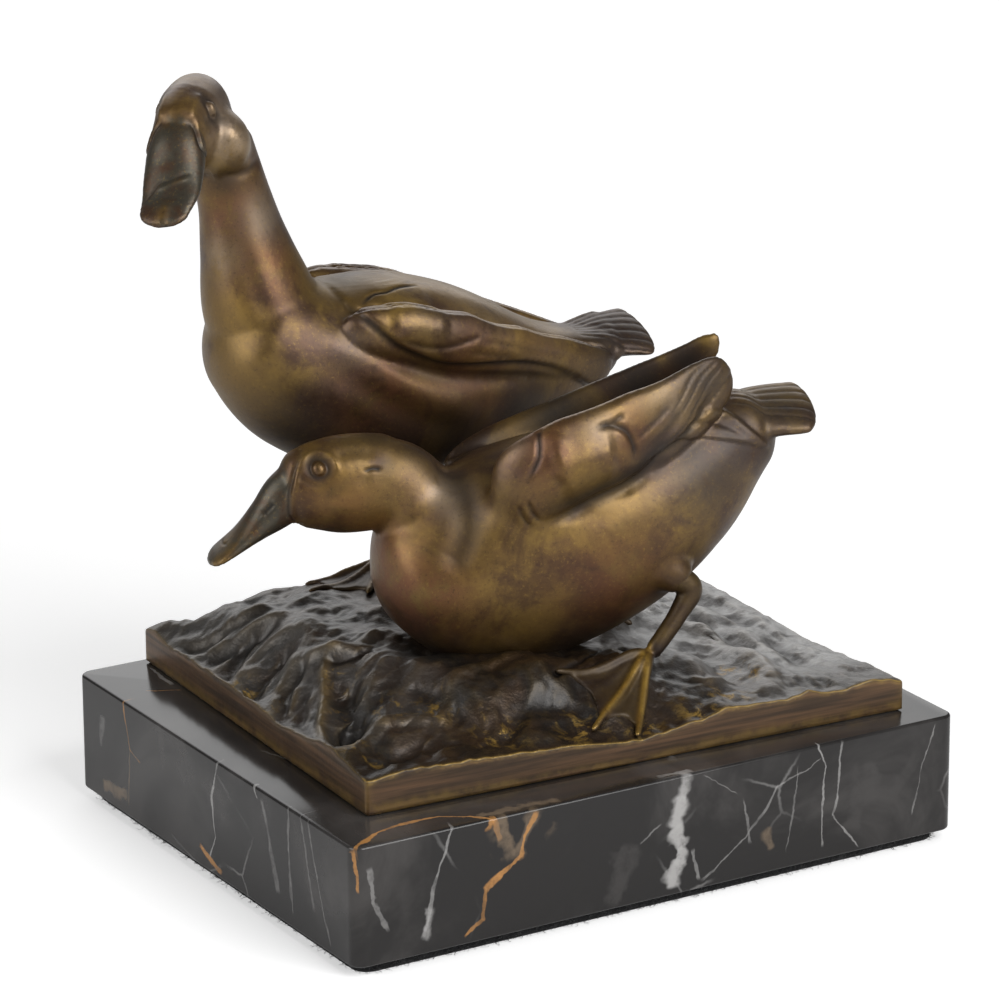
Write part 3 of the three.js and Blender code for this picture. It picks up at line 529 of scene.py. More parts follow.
def clayOf(me, finer=None):  # finer(points) says where the faces are split once more
    bm = bmesh.new()
    bm.from_mesh(me)
    if finer:
        middles = np.array([face.calc_center_median()[:] for face in bm.faces])
        chosen = finer(middles)
        edges = {edge for face, pick in zip(bm.faces, chosen) if pick for edge in face.edges}
        bmesh.ops.subdivide_edges(bm, edges=list(edges), cuts=1, use_grid_fill=True)
    bmesh.ops.triangulate(bm, faces=bm.faces)
    bm.to_mesh(me)
    bm.free()
    points = np.empty(len(me.vertices) * 3)
    me.vertices.foreach_get("co", points)
    faces = np.empty(len(me.polygons) * 3, int)
    me.polygons.foreach_get("vertices", faces)
    bpy.data.meshes.remove(me)
    faces = faces.reshape(-1, 3)
    edges = np.unique(np.sort(np.vstack([faces[:, :2], faces[:, 1:], faces[:, ::2]]), axis=1), axis=0)
    n = len(points) // 3
    return {"points": points.reshape(-1, 3), "faces": faces, "edges": edges,
            "count": np.bincount(edges.ravel(), minlength=n).astype(float),
            **{key: np.zeros(n) for key in patinaAndPaintedLight}}


def neighbours(clay, values):  # mean of each point's neighbours
    a, b = clay["edges"].T
    n = len(clay["points"])
    return np.column_stack([(np.bincount(a, column[b], n) + np.bincount(b, column[a], n)) / clay["count"]
                            for column in values.T])


def soften(clay, rounds, share=None):
    for _ in range(rounds):
        step = 0.5 * (neighbours(clay, clay["points"]) - clay["points"])
        clay["points"] = clay["points"] + (step if share is None else step * share[:, None])


def normalsOf(clay):
    p, f = clay["points"], clay["faces"]
    flat = np.cross(p[f[:, 1]] - p[f[:, 0]], p[f[:, 2]] - p[f[:, 0]])
    n = len(p)
    columns = [sum(np.bincount(f[:, k], flat[:, axis], n) for k in range(3)) for axis in range(3)]
    return unit(np.column_stack(columns))


def ease(v):
    t = np.clip(v, 0, 1)
    return t * t * (3 - 2 * t)


def near(points, centre, radius):  # 1 at the centre, easing to 0 at the radius
    return ease(1 - np.linalg.norm(points - np.asarray(centre, float), axis=1) / radius)


def lineDistance(q, line):  # distance to a smooth line and how far along it, for 2-D points
    curve = np.asarray(line, float)
    if len(line) > 2:
        curve = smoothPath(line, np.linspace(0, 1, 6 * (len(line) - 1) + 1))
    best = np.full(len(q), 1e9)
    along = np.zeros(len(q))
    for k in range(len(curve) - 1):
        a, d = curve[k], curve[k + 1] - curve[k]
        t = np.clip(((q - a) @ d) / (d @ d + 1e-12), 0, 1)
        away = np.linalg.norm(q - a - t[:, None] * d, axis=1)
        closer = away < best
        best[closer] = away[closer]
        along[closer] = (k + t[closer]) / (len(curve) - 1)
    return best, along


planes = {"side": ((0, 2), 1), "top": ((0, 1), 2)}  # the two axes of the drawing and the one it faces


def facingOf(normals, out, hand):  # hand 1 faces left or up, -1 right, 0 both sides
    return np.abs(normals[:, out]) if hand == 0 else normals[:, out] * hand


def groove(width, depth, tone, *line, **more):  # sizes in mm; a depth over 0 makes a ridge
    return {"width": width, "depth": depth, "tone": tone, "line": line, **more}


def carve(clay, strokes, local=None):
    points = clay["points"] if local is None else local(clay["points"])
    normals = normalsOf(clay)
    turned = normals if local is None else unit(local(clay["points"] + normals) - points)
    move = np.zeros(len(points))
    for stroke in strokes:
        axes, out = planes[stroke.get("plane", "side")]
        hand = stroke.get("hand", 0)
        facing = facingOf(turned, out, hand)
        ok = facing > stroke.get("facing", 0.08)
        if hand and out == 1:
            ok &= points[:, 1] * hand > -1
        if "box" in stroke:
            (x0, x1), (y0, y1), (z0, z1) = stroke["box"]
            ok &= ((points[:, 0] > x0) & (points[:, 0] < x1) & (np.abs(points[:, 1]) > y0)
                   & (np.abs(points[:, 1]) < y1) & (points[:, 2] > z0) & (points[:, 2] < z1))
        line = np.asarray(stroke["line"], float)
        width = stroke["width"]
        reach = 3 * width
        q = points[:, axes]
        ok &= ((q > line.min(0) - reach) & (q < line.max(0) + reach)).all(1)
        pick = np.nonzero(ok)[0]
        if not len(pick):
            continue
        d, along = lineDistance(q[pick], line)
        amount = np.exp(-(d / width) ** 2) * np.clip(facing[pick] * 4, 0, 1)
        if stroke.get("taper", True):
            amount = amount * np.clip(np.minimum(along, 1 - along) * 5 + 0.25, 0, 1)
        move[pick] += stroke["depth"] * amount
        key = "dark" if stroke["depth"] < 0 else "rub"
        clay[key][pick] = np.maximum(clay[key][pick], np.clip(stroke["tone"] * amount, 0, 1))
    clay["points"] = clay["points"] + normals * move[:, None]


def tint(clay, tints):  # colours the patina, and paints shade and highlights, in soft round patches: place, radius and amount
    for key, patches in tints.items():
        for place, radius, amount in patches:
            away = np.linalg.norm(clay["points"] - np.asarray(place, float), axis=1) / radius
            clay[key] = np.maximum(clay[key], amount * np.exp(-away ** 2))


def insideDistance(q, outline):  # signed distance to a closed outline, positive inside
    loop = np.asarray(outline, float)
    best = np.full(len(q), 1e9)
    inside = np.zeros(len(q), bool)
    for a, b in zip(loop, np.roll(loop, -1, axis=0)):
        d = b - a
        t = np.clip(((q - a) @ d) / (d @ d + 1e-12), 0, 1)
        best = np.minimum(best, np.linalg.norm(q - a - t[:, None] * d, axis=1))
        crosses = (a[1] > q[:, 1]) != (b[1] > q[:, 1])
        at = a[0] + (q[:, 1] - a[1]) * d[0] / np.where(abs(d[1]) < 1e-9, 1e-9, d[1])
        inside ^= crosses & (q[:, 0] < at)
    return np.where(inside, best, -best)


def raiseArea(clay, areas):  # areas: outline, height and how wide its edge is
    normals = normalsOf(clay)
    points = clay["points"]
    move = np.zeros(len(points))
    for area in areas:
        axes, out = planes["side"]
        hand = area["hand"]
        facing = facingOf(normals, out, hand)
        pick = np.nonzero((facing > 0.05) & ((points[:, 1] * hand > -1) | (hand == 0)))[0]
        d = insideDistance(points[pick][:, axes], smoothLoop(area["outline"]))
        move[pick] += area["height"] * ease(d / area["edge"] + 0.5) * ease(facing[pick] * 1.7)
    clay["points"] = points + normals * move[:, None]


def smoothLoop(outline):
    loop = list(outline)
    spans = len(loop) + 2
    share = np.linspace(1 / spans, (spans - 1) / spans, 6 * len(loop) + 1)
    return smoothPath(loop[-1:] + loop + loop[:2], share)[:-1]


def patina(clay, rounds, gain):  # hollows go dark and ridges are rubbed bright
    normals = normalsOf(clay)
    kept = clay["points"]
    for count, strength in zip(rounds, gain):
        clay["points"] = kept
        soften(clay, count)
        hollow = ((clay["points"] - kept) * normals).sum(1) * strength
        clay["dark"] = np.maximum(clay["dark"], np.clip(hollow, 0, 1))
        clay["rub"] = np.maximum(clay["rub"], np.clip(-hollow * 0.8, 0, 0.8))
    clay["points"] = kept


def pieceOf(name, clay, nodes, slotName, place=None, extra=()):
    points = clay["points"] if place is None else movedShell((clay["points"], None), place)[0]
    me = plainMesh(name, points * mm, clay["faces"])
    me.shade_smooth()
    for key in (*patinaAndPaintedLight, *extra):
        if key in clay:
            layer = me.attributes.new(key, "FLOAT", "POINT")
            layer.data.foreach_set("value", np.clip(clay[key], 0, 1).astype(np.float32))
    me.materials.append(finishes[slotName])
    obj = placed(name, me)
    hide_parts(*nodes)
    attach(obj, "root")
    print(name, len(me.polygons), "triangles")
    return obj


# the two ducks share one head

head = {
    "frontSkull": [(-13.5, 0, 0.2, 6.4, 8.4, 9), (-6, 0, 0.2, 8.3, 10.4, 10.6), (3, 0, 0, 8.3, 11, 10.8),
                   (10, 0, -0.5, 6.9, 9.9, 9.2), (17, 0, -1.8, 5, 7.6, 6.6)],
    "rearSkull": [(-13.5, 0.4, 0.2, 5.6, 8.4, 9), (-6, 0.5, 0.2, 7.2, 10.4, 10.6), (3, 0.5, 0, 7.2, 11, 10.8),
                  (10, 0.3, -0.5, 6.3, 9.9, 9.2), (17, 0, -1.8, 5, 7.6, 6.6)],
    "frontBill": [(10, 0, 0.2, 5.2, 7.4, 7), (15, 0, -2.4, 4.8, 6.3, 5.8), (19.5, 0, -6, 4.4, 4.4, 4.1),
                  (24.5, 0, -10, 5, 2.6, 2.6), (29, 0, -13.2, 5.6, 1.7, 1.7),
                  (32.6, 0, -15.6, 5.2, 1.2, 1.2)],
    "rearBill": [(10, 0, 0.2, 5.6, 7.4, 7), (15.3, 0, -2.5, 6, 6.3, 5.8), (20.1, 0, -6.4, 6.1, 4.4, 4.1),
                 (25.4, 0, -10.6, 6, 2.6, 2.6), (30.1, -0.7, -14, 5.3, 1.7, 1.7),
                 (34, -1.1, -16.5, 4.3, 1.2, 1.2)],
    "rearCheeks": [[(-6, 4.2, -4.9, 7.2, 8.4), (2, 4.9, -5.0, 7.6, 8.8), (8, 4.4, -5.4, 7.1, 7.8)],
                   [(-6, -1.2, -4.2, 6.6, 8.0), (2, -1.3, -4.4, 6.8, 8.4), (8, -1.2, -4.8, 6.2, 7.8)]],
    "frontEye": {"at": (9.1, 5.7), "ball": 1.35, "tall": 1.0, "hollow": 1.2, "depth": 0.34, "tone": 0.8,
                 "rub": 0.2, "far": 1.0},
    "rearEye": {"at": (7.0, 4.9), "ball": 1.3, "tall": 1.4, "hollow": 1.5, "depth": 0.4, "tone": 0.75,
                "rub": 0.05, "far": 0.25},
    # where the bill begins, and the part of the head that is split into finer faces
    "bill": {"start": 14.6, "slant": 0.10, "middle": (22, 0, -7), "reach": 26},
    "finer": {"middle": (10, 0, -2), "shape": (1, 0.6, 0.8), "reach": 17, "billStart": 14, "billReach": 22},
    "frontFace": [
        groove(0.5, 0.28, 0.3, (12.8, 6.7), (10.9, 8.3), (8.3, 8.9), (5.8, 7.8), (5.0, 5.4)),
        groove(0.9, -0.2, 0.35, (13.4, 4.2), (11.8, 3.0), (9.4, 2.2), (6.4, 3.4)),
        groove(0.38, -0.5, 1.2, (-0.6, 4.9), (-2.4, 5.4), (-4.2, 5.0)),
        groove(1.3, -0.3, 0.35, (5.5, 8.2), (1.1, 8.9), (-3.6, 8.2), facing=0.02),
        groove(2.0, -0.22, 0.2, (9.6, 0.0), (5.3, 1.7), (1.4, 3.1), (-2.5, 3.4)),
        groove(0.4, -0.32, 0.6, (12.4, 8.6), (14.1, 5.3), (15.0, 2.1), (15.6, -1.2), (15.4, -4.6),
               (13.4, -7.6), facing=0.0),
        groove(0.5, 0.22, 0.25, (13.3, 5.3), (14.1, 2.1), (14.7, -1.2), (14.4, -4.6), (12.6, -7.2)),
        groove(0.55, -0.35, 0.9, (21.0, -4.3), (18.6, -1.8)),
        groove(0.4, 0.15, 0.1, (21.4, -5.4), (19.8, -2.6), (17.8, -1.2)),
        groove(0.35, -0.4, 0.7, (12.6, -7.4), (16.5, -8.0), (20.5, -10.2), (25.3, -12.6), (30.3, -14.9),
               facing=0.0, taper=False),
        groove(0.7, 0.4, 0.1, (13.0, -6.8), (14.2, -7.6)),
        groove(0.3, -0.12, 0.4, (28.9, -2.2), (29.4, 0), (28.9, 2.2), plane="top", hand=1,
               box=((24, 40), (-1, 9), (-20, -8))),
    ],
    "rearFace": [
        groove(0.7, 0.4, 0.2, (15.6, 4.7), (13.4, 6.8), (10.0, 8.2), (6.6, 8.8)),
        groove(1.3, -0.45, 0.45, (12.6, 3.6), (10.2, 2.9), (7.4, 3.6), (5.2, 6.0)),
        groove(0.4, -0.3, 0.55, (15.6, 4.6), (16.2, 2.6), (17.6, 0.3), (18.2, -1.6), (17.0, -4.2),
               (14.2, -6.6), facing=0.0),
        groove(0.5, 0.25, 0.1, (14.4, 4.6), (15.2, 2.4), (16.6, 0.1), (17.2, -1.8), (16.0, -4.0)),
        groove(0.35, -0.4, 1.2, (21.0, -1.4), (21.5, -1.9), taper=False, facing=0.45),
        groove(0.8, 0.6, 0.1, (13.4, -7.0), (14.3, -6.9), taper=False),
        groove(0.3, -0.4, 1.0, (13.2, -6.6), (14.2, -7.4), taper=False),
        groove(0.3, -0.14, 0.3, (24.0, 4.0), (25.2, 1.7), (25.9, -0.3), (26.3, -2.4), (28.6, -5.0),
               plane="top", hand=1, box=((20, 34), (-1, 9), (-16, 0))),
        groove(0.3, 0.12, 0.4, (25.2, 3.4), (26.0, 1.7), (26.7, -0.3), (27.1, -2.2), plane="top", hand=1,
               box=((20, 34), (-1, 9), (-16, 0))),
        groove(1.4, 0.5, 0.5, (31.2, -0.6), (34.6, -1.0), plane="top", hand=1, taper=False,
               box=((29, 40), (-1, 9), (-22, -9))),
        groove(0.35, -0.4, 0.8, (14.4, -7.6), (18.5, -9.0), (23.5, -12.2), (28.3, -15.6), (33, -17.8),
               facing=0.0, taper=False),
        groove(1.2, -0.5, 0.6, (10.0, -10.6), (4.2, -12.8), (0, -13.0), (-5, -11.6)),
    ],
}


def headMatrix(pose):
    turn = (Matrix.Rotation(radians(pose["yaw"]), 4, "Z") @ Matrix.Rotation(radians(pose["pitch"]), 4, "Y")
            @ Matrix.Rotation(radians(pose["roll"]), 4, "X"))
    sized = Matrix.Diagonal((pose["size"], pose["breadth"], pose["size"], 1))
    return Matrix.Translation(pose["middle"]) @ turn @ sized


def headShells(matrix, pose):
    shells = [loft(head[pose["skull"]], (7, 5)), loft(head[pose["bill"]], (3, 3.4))]
    shells += [loft(cheek, (7, 5)) for cheek in pose["cheeks"]]
    return [movedShell(shell, matrix) for shell in shells]


def carveHead(clay, matrix, pose):
    back = np.array(matrix.inverted())

    def local(points):
        return points @ back[:3, :3].T + back[:3, 3]

    inHead = local(clay["points"])
    bill = head["bill"]
    past = inHead[:, 0] - bill["start"] - bill["slant"] * np.abs(inHead[:, 2] + 1.5)
    clay["bill"] = np.clip(past / 0.9, 0, 1) * (near(inHead, bill["middle"], bill["reach"]) > 0)
    carve(clay, head[pose["strokes"]], local)
    eye = head[pose["eye"]]
    inHead = local(clay["points"])
    normals = normalsOf(clay)
    d = np.hypot(inHead[:, 0] - eye["at"][0], (inHead[:, 2] - eye["at"][1]) / eye["tall"])
    onSide = (np.abs(inHead[:, 1]) > 2.0) & (d < 7)  # round the eye, off the head's middle
    rimAt = eye["ball"] + 0.45
    ditch = np.exp(-((d - rimAt) / np.where(d < rimAt, 0.35, eye["hollow"])) ** 2)
    rise = np.sqrt(np.clip(eye["ball"] ** 2 - d ** 2, 0, None)) * 0.7 - eye["depth"] * ditch
    rise = rise * np.where(inHead[:, 1] > 0, 1.0, eye["far"])  # the far eye hardly shows
    clay["points"] = clay["points"] + normals * np.where(onSide, rise, 0)[:, None]
    clay["dark"] = np.maximum(clay["dark"], np.where(onSide, eye["tone"] * ditch, 0))
    clay["rub"] = np.maximum(clay["rub"], np.where(onSide & (d < eye["ball"] * 0.8), eye["rub"], 0))


def duckPlace(x, y, heading):
    return Matrix.Translation((x, y, 0)) @ Matrix.Rotation(radians(180 - heading), 4, "Z")


# front duck, crouching. Each duck is made looking along +X, with its left side on +Y

frontDuck = {
    "place": duckPlace(-16, -5, 18),
    "grain": 0.56, "ridgeShine": 0.4,
    "head": {"middle": (23, 0, 84.4), "yaw": 0, "pitch": 0, "roll": 0, "size": 1, "breadth": 1,
             "bill": "frontBill", "skull": "frontSkull", "cheeks": [], "melt": 4,
             "strokes": "frontFace", "eye": "frontEye"},
    "neckUp": (0.72, 0, -0.7),
    "body": [(18.5, 0, 58, 12, 12, 12), (9, 0, 61.5, 17, 18, 19), (-4, 0, 65.5, 20, 22, 25.5),
             (-19, 0, 69.5, 21, 22.5, 26), (-34, 0, 74.5, 20, 20, 23.5), (-48, 0, 81.5, 16.5, 16, 19),
             (-60, 0, 88.5, 12, 11.5, 12.5), (-70, 0, 93, 8, 6.5, 6)],
    "neck": [(8, 0, 58, 13, 12, 13), (8.5, 0, 68, 11, 11, 11), (9.5, 0, 76, 9.4, 9.6, 10.5),
             (14, 0, 82.5, 8.4, 9.4, 10.6), (21, 0, 84.4, 8, 9.5, 10)],
    "nearWing": [(-3.5, 15.4, 82, 3.4, 8.6, 10), (-12, 17.6, 87, 4.6, 11, 10), (-27, 17.4, 92.5, 4.4, 11, 10),
                 (-41, 14, 97.5, 3.4, 9.5, 9), (-52, 10, 103, 2.2, 7, 7.5), (-59, 7, 106, 1.4, 5, 5.5)],
    "farWing": [(2, -13, 77, 3.2, 8, 10), (-12, -16, 81.5, 4, 8.5, 10), (-27, -15.5, 87.5, 3.4, 8, 10),
                (-42, -12.5, 95.5, 2.4, 6.6, 8), (-53, -9, 103.6, 1.6, 4, 5), (-60, -7, 110, 1.2, 1.8, 2.6)],
    "tail": [(-58, 0, 91.5, 8, 5, 4), (-68, 0.5, 94, 9, 3.2, 3.4), (-79.5, 1, 94.6, 10, 2, 2)],
    "thigh": [(-37, 11, 69, 5, 6), (-43, 13, 64, 4.6, 5.0), (-47.3, 14.2, 60.5, 3.5, 3.6)],
    "areas": [
        {"outline": [(-40, 91), (-47, 93.6), (-53, 92.8), (-59, 91.8), (-66.5, 89.0), (-62, 93), (-59, 95.8),
                     (-54.5, 98), (-50, 98.6), (-44, 96)], "height": 0.6, "edge": 1.6, "hand": 1},
    ],
    "strokes": [
        groove(0.6, -0.6, 0.85, (-14.5, 101), (-13.2, 98.8), (-12.9, 95.5), (-12.3, 93.1), (-10.2, 89.3),
               hand=1),
        groove(2.4, 0.6, 0.0, (-17.5, 99), (-16.5, 94), (-15, 89.5), hand=1),
        groove(0.4, -0.3, 0.6, (-10.4, 84.3), (-11.2, 81.7), (-13.4, 79.2), hand=1),
        groove(0.4, -0.25, 0.5, (-8.4, 83.2), (-9.3, 80.6), (-11.1, 78), hand=1),
        groove(1.4, -1.2, 0.8, (-15.1, 78.9), (-20, 80), (-26.7, 82.8), (-32.6, 84.6), (-37.3, 86.8),
               (-41.8, 90.8), (-47.9, 94.9), (-51.7, 99.5), (-55, 103.3), hand=1),
        # a wide dark band just above the near wing's lower edge: painted shade on the wing's underside
        groove(2.8, -0.6, 0.85, (-15.5, 82), (-21, 83.2), (-28, 86), (-34.5, 88), (-40, 92), (-46, 96),
               hand=1),
        groove(5.0, 1.6, 0.0, (-16, 90), (-23, 92.5), (-30, 93.5), hand=1),
        groove(0.7, -0.7, 0.9, (-25.5, 99.6), (-28.5, 99.8), (-31.9, 98.4), (-33.7, 95.3), (-34.5, 91.6),
               hand=1),
        groove(0.6, -0.45, 0.7, (-28.5, 99.8), (-31.8, 101.6), hand=1),
        groove(0.9, -0.35, 0.5, (-34.4, 95.7), (-39.1, 99), (-43.3, 102), hand=1),
        groove(1.2, -0.35, 0.5, (-37, 92.5), (-42, 96.5), (-46, 100.6), hand=1),
        groove(0.4, -0.3, 0.6, (-57.5, 109), (-53, 105.5), (-50.3, 101.7), (-46.6, 96.9), (-41.6, 93),
               hand=1),
        groove(0.4, -0.25, 0.5, (-56, 109.6), (-51.3, 106.9), (-48.4, 103.2), (-45, 98.6), hand=1),
        groove(0.4, -0.25, 0.5, (-53.5, 109.6), (-48.9, 107.2), (-46.2, 103.6), (-43, 99.6), hand=1),
        groove(0.4, -0.25, 0.5, (-59.5, 106.4), (-55.5, 102.6), (-52, 98.6), (-48, 94.4), hand=1),
        groove(0.4, 0.4, 0.35, (-38.5, 90.4), (-41.6, 92.3), (-46.8, 93.4), (-53.2, 92.7), (-58.9, 91.6),
               (-62.8, 90.4), (-67, 88.4), hand=1),
        groove(0.4, 0.4, 0.35, (-50.4, 98.9), (-54.5, 98.2), (-58.9, 95.9), (-62.1, 93.2), (-67, 88.8),
               hand=1),
        groove(0.6, -0.3, 0.4, (-46, 96.2), (-52, 96), (-57.5, 94.4), (-61.5, 92), hand=1),
        groove(3.4, -1.2, 0.6, (2.6, 92), (2.0, 87), (1.0, 82.5), (1.8, 77.1), (4.0, 72.1), (6.5, 68)),
    ],
    "tints": {
        "gold": [((-31, 19.4, 76), 10, 0.3), ((-17.5, 20.4, 73), 10, 0.45), ((-4.5, 19.5, 62), 11, 0.5),
                 ((-22, 22, 90), 6, 0.5), ((-57, -7, 111), 2.5, 1), ((-47, -10, 105), 2.0, 0.9),
                 ((-36, -12, 100), 1.6, 0.8), ((12, 9, 78), 8, 0.4), ((-45, 15, 75), 10, 0.5),
                 ((29, 6, 88), 7, 0.4), ((54, 0, 70), 7, 0.6), ((-72, 5, 96), 6, 0.4)],
        # painted highlights: the pale tan sheen of the lamps on the neck, the wing and the shoulder
        "paintedSheen": [((4.7, 8, 83), 4.5, 0.9), ((4, 11, 80.5), 4, 0.5), ((-26.5, 21, 99), 4, 0.5),
                 ((-42, 15, 102), 5, 0.4), ((-8, 18.5, 97), 3.5, 0.4)],
        "red": [((15.6, 10.7, 60.7), 14, 1), ((18.1, 7, 68.8), 11, 0.9), ((9.2, 16.8, 64.5), 9, 0.8),
                ((-12, 20, 96), 9, 0.8), ((-33, 20, 97), 6, 0.6), ((-31, 18.6, 62.9), 14, 0.6),
                ((28, 8, 83), 8, 0.6), ((10, 10, 82), 7, 0.5)],
        "grey": [((-50, 15, 86), 11, 0.9), ((-58, 12, 90), 11, 0.8), ((-50, 12, 106), 10, 0.8),
                 ((-70, 4, 94), 9, 0.8), ((6, 11, 86), 7, 0.5), ((-6, 19, 91), 7, 0.4)],
        # dark: painted shade inside the far wing, under the near wing, in the neck's crease, under the belly
        # and at the thigh; darker patina on the crown, the back of the flank, the wing tip and the tail
        "dark": [((-6, -9, 84), 13, 0.75), ((-30, -6, 92), 16, 0.75), ((-17.5, 20.6, 82), 3.5, 0.6),
                 ((-28.6, 20.2, 86), 4, 0.6), ((-48, 15, 90), 7, 0.45), ((-58, 11, 93), 8, 0.5),
                 ((-52, 11, 106), 7, 0.5), ((-71, 2, 95), 8, 0.45), ((-6, 10, 44), 11, 0.8),
                 ((8, 8, 47), 11, 0.85), ((-21, 10, 48), 12, 0.8), ((1, 15, 83), 4, 0.6),
                 ((-20, 21, 99), 3, 0.25), ((-43, -10, 98), 9, 0.95), ((-26, -13, 91), 11, 0.95),
                 ((-53, -7, 104), 6, 0.9), ((-36, 18, 92), 5, 0.5), ((-24, 20, 86), 4, 0.5),
                 ((-52, 14, 86), 9, 0.45), ((-40, 16, 90), 4, 0.7), ((-66, 6, 89), 6, 0.6),
                 ((19, 0, 95), 6, 0.65), ((10, 3, 93), 6, 0.5), ((24, 4, 95), 5, 0.4),
                 ((18, 8, 91), 4, 0.4), ((-45, 14, 62), 6, 0.7), ((36, 6, 80), 5, 0.3)],
    },
    "soft": [((2, 15, 80), 19, 160), ((-1, 19, 88), 12, 150), ((2, -15, 78), 17, 100),
             ((-8, 21, 77), 10, 120), ((-18, 21.5, 78.5), 8, 90), ((-28, 20.5, 81.5), 7, 60),
             ((-38, 18, 86), 6, 40), ((6, 0, 72), 22, 14), ((-42, 14, 63), 9, 30),
             ((-42, -14, 63), 9, 30), ((-5, 18.5, 93), 8, 120), ((-10, 18, 98), 9, 70),
             ((-26, 18, 102), 9, 34), ((-41, 14, 106), 8, 20), ((-62, 0, 93), 10, 16),
             ((12, 0, 84), 14, 60), ((8, 12, 78), 10, 40)],
    "tailFeathers": {"from": -60, "to": -81, "count": 6, "spread": (5.0, 8.2), "z": (86, 102)},
    "tailDrift": 0,
}


def tailStrokes(tail, drift):  # the grooves between the tail feathers, on top and below
    lines = []
    root, tip = tail["spread"]
    for k in range(tail["count"]):
        f = k / (tail["count"] - 1) * 2 - 1
        line = [(tail["from"], f * root), ((tail["from"] + tail["to"]) / 2, f * (root + tip) / 2 + drift / 2),
                (tail["to"], f * tip + drift)]
        box = ((tail["to"] - 2, tail["from"] + 3), (-1, 14), tail["z"])
        lines += [groove(0.45, -0.2, 0.5, *line, plane="top", hand=hand, facing=0.5, taper=False, box=box)
                  for hand in (1, -1)]
    return lines


def duckClay(duck):
    matrix = headMatrix(duck["head"])
    thigh = loft(duck["thigh"], (3, 1.6), upward=(1, 0, 0))
    nearWing = loft(duck["nearWing"], (7, 4))
    farWing = loft(duck["farWing"], (7, 4)) if "farWing" in duck else mirroredShell(nearWing)
    # the second value of each loft is how far its two ends round off
    shells = headShells(matrix, duck["head"]) + [
        loft(duck["body"], (9, 5), rings=110, sides=90),
        loft(duck["neck"], (5, 5), upward=duck["neckUp"]),
        loft(duck["tail"], (3, 4), upward=(0, 0.3, 0.95)),
        thigh, mirroredShell(thigh), nearWing, farWing,
    ]
    back = np.array(matrix.inverted())

    def finer(middles):
        inHead = middles @ back[:3, :3].T + back[:3, 3]
        fine = head["finer"]
        onFace = np.linalg.norm((inHead - fine["middle"]) / fine["shape"], axis=1) < fine["reach"]
        roundBill = near(inHead, head["bill"]["middle"], fine["billReach"]) > 0
        return onFace | (inHead[:, 0] > fine["billStart"]) & roundBill

    clay = clayOf(blended(shells, duck["grain"]), finer)
    soften(clay, 3)
    inHead = clay["points"] @ back[:3, :3].T + back[:3, 3]
    soften(clay, duck["head"]["melt"], near(inHead, (1, 0, -2.5), 20) * ease((14 - inHead[:, 0]) / 4))
    for centre, radius, rounds in duck["soft"]:
        soften(clay, rounds, near(clay["points"], centre, radius))
    raiseArea(clay, duck["areas"])
    carve(clay, duck["strokes"] + tailStrokes(duck["tailFeathers"], duck["tailDrift"]))
    carveHead(clay, matrix, duck["head"])
    soften(clay, 1, np.full(len(clay["points"]), 0.4))
    patina(clay, (6, 30), (1.6, 0.35))
    clay["rub"] *= duck["ridgeShine"]
    tint(clay, duck["tints"])
    return clay


pieceOf("front_duck_skin", duckClay(frontDuck), ["front_duck_body"], "duck_bronze", frontDuck["place"])


# rear duck, standing with its head turned to its left

